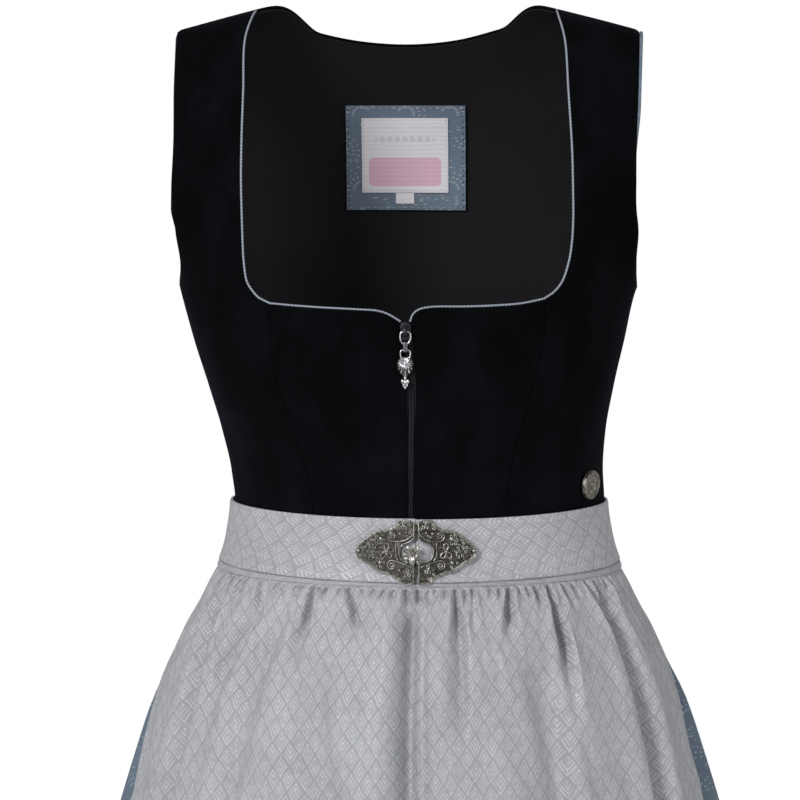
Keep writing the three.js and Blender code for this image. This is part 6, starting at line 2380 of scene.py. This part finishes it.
        def leaf(angle: float, long: float, wide: float) -> None:
            rows, cols = 14, 9
            t = np.linspace(0, 1, rows)[:, None]
            s = np.linspace(-1, 1, cols)[None]
            half = wide * np.sin(math.pi * np.clip(t, 0.03, 0.97)) ** 0.7
            u, w = 1.0 + long * t + 0 * s, half * s
            rise = 0.8 * np.sin(math.pi * t * 0.8) + 0.55 * np.abs(s) ** 2 * half / wide
            rise = rise + 0.2 * np.exp(-(s / 0.2) ** 2)
            c, k = math.cos(angle), math.sin(angle)
            front = np.stack([u * c - w * k, -rise, u * k + w * c], -1) + centre
            mesh.add(*wall(front, front + np.array([0, 0.4, 0]), np.zeros((rows, cols, 2))))
            ring = np.vstack([front[:, 0], front[::-1, -1]])
            mesh.add(*tube(ring, 0.24, 6, closed=True))

        for angle, long, wide in FLOWER_LEAVES:
            leaf(angle * RAD, long, wide)
        for k in range(6):
            a = 2 * math.pi * k / 6
            at = centre + np.array([1.25 * math.cos(a), -0.9, 1.25 * math.sin(a)])
            mesh.add(*ball(at, 0.55, (1, 1, 1), 7, 10))
        mesh.add(*ball(centre + np.array([0, -0.9, 0]), 0.5, (1, 1, 1), 7, 10))
        for u, w, radius in ((-5.0, -6.2, 1.15), (1.9, -5.9, 1.25), (-7.0, 1.0, 0.95), (-9.9, 2.8, 0.9)):
            mesh.add(*ball((self.reach + u, -(self.thick + 0.8), w), radius, (1, 0.95, 1), 9, 14))
        arm = np.array([(-2.0, -0.9, -8.4), (-1.8, -1.5, -5.6), (-1.4, -2.0, -2.0)]) + (self.reach, 0, 0)
        mesh.add(*tube(arm, 0.6, 8))
        return mesh

    def build(self, along: Along) -> None:
        """Makes both halves.

        Args:
            along: the tree that sets the granules.
        """
        for side, word in ((-1, "left"), (1, "right")):
            lay = self.joiner(side)
            self.plate(side, lay).piece("clasp_plate_" + word, self.wear.plate, "antique", "clasp_" + word)
            mesh, lines, outs = self.wires(side, lay)
            mesh.piece("clasp_wires_" + word, self.wear.antique, "antique")
            carry(along.run("clasp_granules_" + word, lines, outs, 1.15, (0.85, 0.85, 0.85),
                            self.wear.antique))
            if side < 0:
                self.flower(lay).piece("clasp_flower", self.wear.antique, "antique")
        log.info("clasp made")


@dataclass
class Badge:
    """The round silver button above the band, with a plain rosette."""

    wear: Wardrobe
    x: float = 116.1
    z: float = -300.6
    radius: float = 9.3
    petals: int = 10

    def build(self) -> None:
        """Makes the button as one raised disc."""
        a, v = BODY_FORM.front_at(self.x, self.z)
        n = BODY_FORM.normal(a, v)
        lay = Joiner(BODY_FORM.place(a, v, 1.2), turn_z(math.atan2(n[0], -n[1])) @ turn_x(-math.asin(n[2])))
        r = np.linspace(0.02, 1, 60)[:, None]
        t = (np.arange(160) * 2 * math.pi / 160)[None]
        dome = 1.5 + 1.0 * np.sqrt(np.clip(1 - (r * 0.92) ** 2, 0, 1))
        rim = 0.75 * np.exp(-((r - 0.93) / 0.05) ** 2)
        rope = 0.22 * np.exp(-((r - 0.80) / 0.035) ** 2) * np.cos(t * 44)
        wave = np.cos(t * self.petals / 2) ** 2
        petal = 0.85 * np.exp(-((r - 0.50) / 0.17) ** 2) * (0.25 + 0.75 * wave)
        vein = -0.3 * np.exp(-((r - 0.5) / 0.13) ** 2) * np.exp(-(np.sin(t * self.petals / 2) / 0.2) ** 2)
        heart = 0.9 * np.exp(-(r / 0.15) ** 2)
        height = dome + rim + rope + petal + vein + heart - 0.5 * np.exp(-((r - 0.27) / 0.04) ** 2)
        height = np.where(r > 0.985, height - 0.4, height)
        front = np.stack([self.radius * r * np.cos(t), -height, self.radius * r * np.sin(t)], -1)
        back = front[-1].copy()
        back[:, 1] = 0
        mesh = Mesh(lay)
        mesh.add(*capped(np.concatenate([front, back[None]]), (0, -height[0].mean(), 0), (0, 0, 0)))
        mesh.piece("badge_cast", self.wear.badge, "silver", "badge", sharp=60)
        log.info("badge made")


@dataclass
class Studio:
    """The camera, the lights, the white surround and the floor."""

    wear: Wardrobe
    floor_z: float = -1.05
    ambient: float = 0.35

    def camera(self) -> None:
        """Sets the camera where the photograph was taken from."""
        az, el = VIEW_AZIMUTH * RAD, VIEW_ELEVATION * RAD
        back = Vector((math.sin(az) * math.cos(el), -math.cos(az) * math.cos(el), math.sin(el)))
        data = bpy.data.cameras.new("camera")
        data.lens = VIEW_LENS
        data.sensor_width = 36.0
        data.sensor_fit = "HORIZONTAL"
        data.clip_end = 50
        made = bpy.data.objects.new("camera", data)
        made.location = VIEW_TARGET + back * VIEW_DISTANCE
        made.rotation_euler = back.to_track_quat("Z", "Y").to_euler()
        bpy.context.scene.collection.objects.link(made)
        bpy.context.scene.camera = made

    def light(self, name: str, kind: str, place: Sequence[float], target: Sequence[float], power: float,
              **settings: object) -> None:
        """Adds a light.

        Args:
            name: its name. kind: its type. place, target: metres. power: watts. settings: its properties.
        """
        data = bpy.data.lights.new(name, kind)
        data.energy = power
        for key, value in settings.items():
            setattr(data, key, value)
        made = bpy.data.objects.new(name, data)
        made.location = Vector(place)
        made.rotation_euler = (Vector(place) - Vector(target)).to_track_quat("Z", "Y").to_euler()
        bpy.context.scene.collection.objects.link(made)

    def build(self) -> None:
        """Sets everything up."""
        self.camera()
        scene = bpy.context.scene
        scene.view_settings.view_transform = "Standard"
        scene.view_settings.look = "None"
        world = bpy.data.worlds.new("white_surround")
        world.use_nodes = True
        tree = world.node_tree
        white = (1, 1, 1, 1)
        soft = add_node(tree, "ShaderNodeBackground", (white, self.ambient))
        seen = add_node(tree, "ShaderNodeBackground", (white, 1.0))
        path = add_node(tree, "ShaderNodeLightPath")
        mixed = add_node(tree, "ShaderNodeMixShader",
                         (path.outputs["Is Camera Ray"], soft.outputs[0], seen.outputs[0]))
        tree.links.new(mixed.outputs[0], tree.nodes["World Output"].inputs["Surface"])
        scene.world = world
        middle = (0, 0, -0.4)
        self.light("key", "AREA", (-1.35, -2.2, 0.95), middle, 45, shape="SQUARE", size=0.75)
        self.light("fill", "AREA", (2.0, -1.7, 0.15), middle, 13, shape="SQUARE", size=1.4)
        # A narrow beam lights the inside of the back through the neck
        self.light("neck", "SPOT", (0.02, -2.0, 0.75), (-0.005, 0.1, -0.095), 26,
                   spot_size=7.0 * RAD, spot_blend=0.7, shadow_soft_size=0.08)
        flat = bmesh.new()
        bmesh.ops.create_grid(flat, x_segments=4, y_segments=4, size=1.8)
        for corner in flat.verts:
            corner.co.z = self.floor_z
        mesh = bpy.data.meshes.new("floor")
        flat.to_mesh(mesh)
        flat.free()
        mesh.materials.append(self.wear.floor)
        floor = bpy.data.objects.new("floor", mesh)
        scene.collection.objects.link(floor)
        log.info("studio made")


def main() -> None:
    """Builds the dress and its studio."""
    wear = Wardrobe()
    beads = Along("beads_along")
    Studio(wear).build()
    Bodice(wear).build(beads)
    Waistband(wear).build()
    Skirt(wear, LowerForm()).build()
    Zip(wear).build(beads)
    Clasp(wear).build(beads)
    Badge(wear).build()
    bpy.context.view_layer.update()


if __name__ == "__main__":
    main()
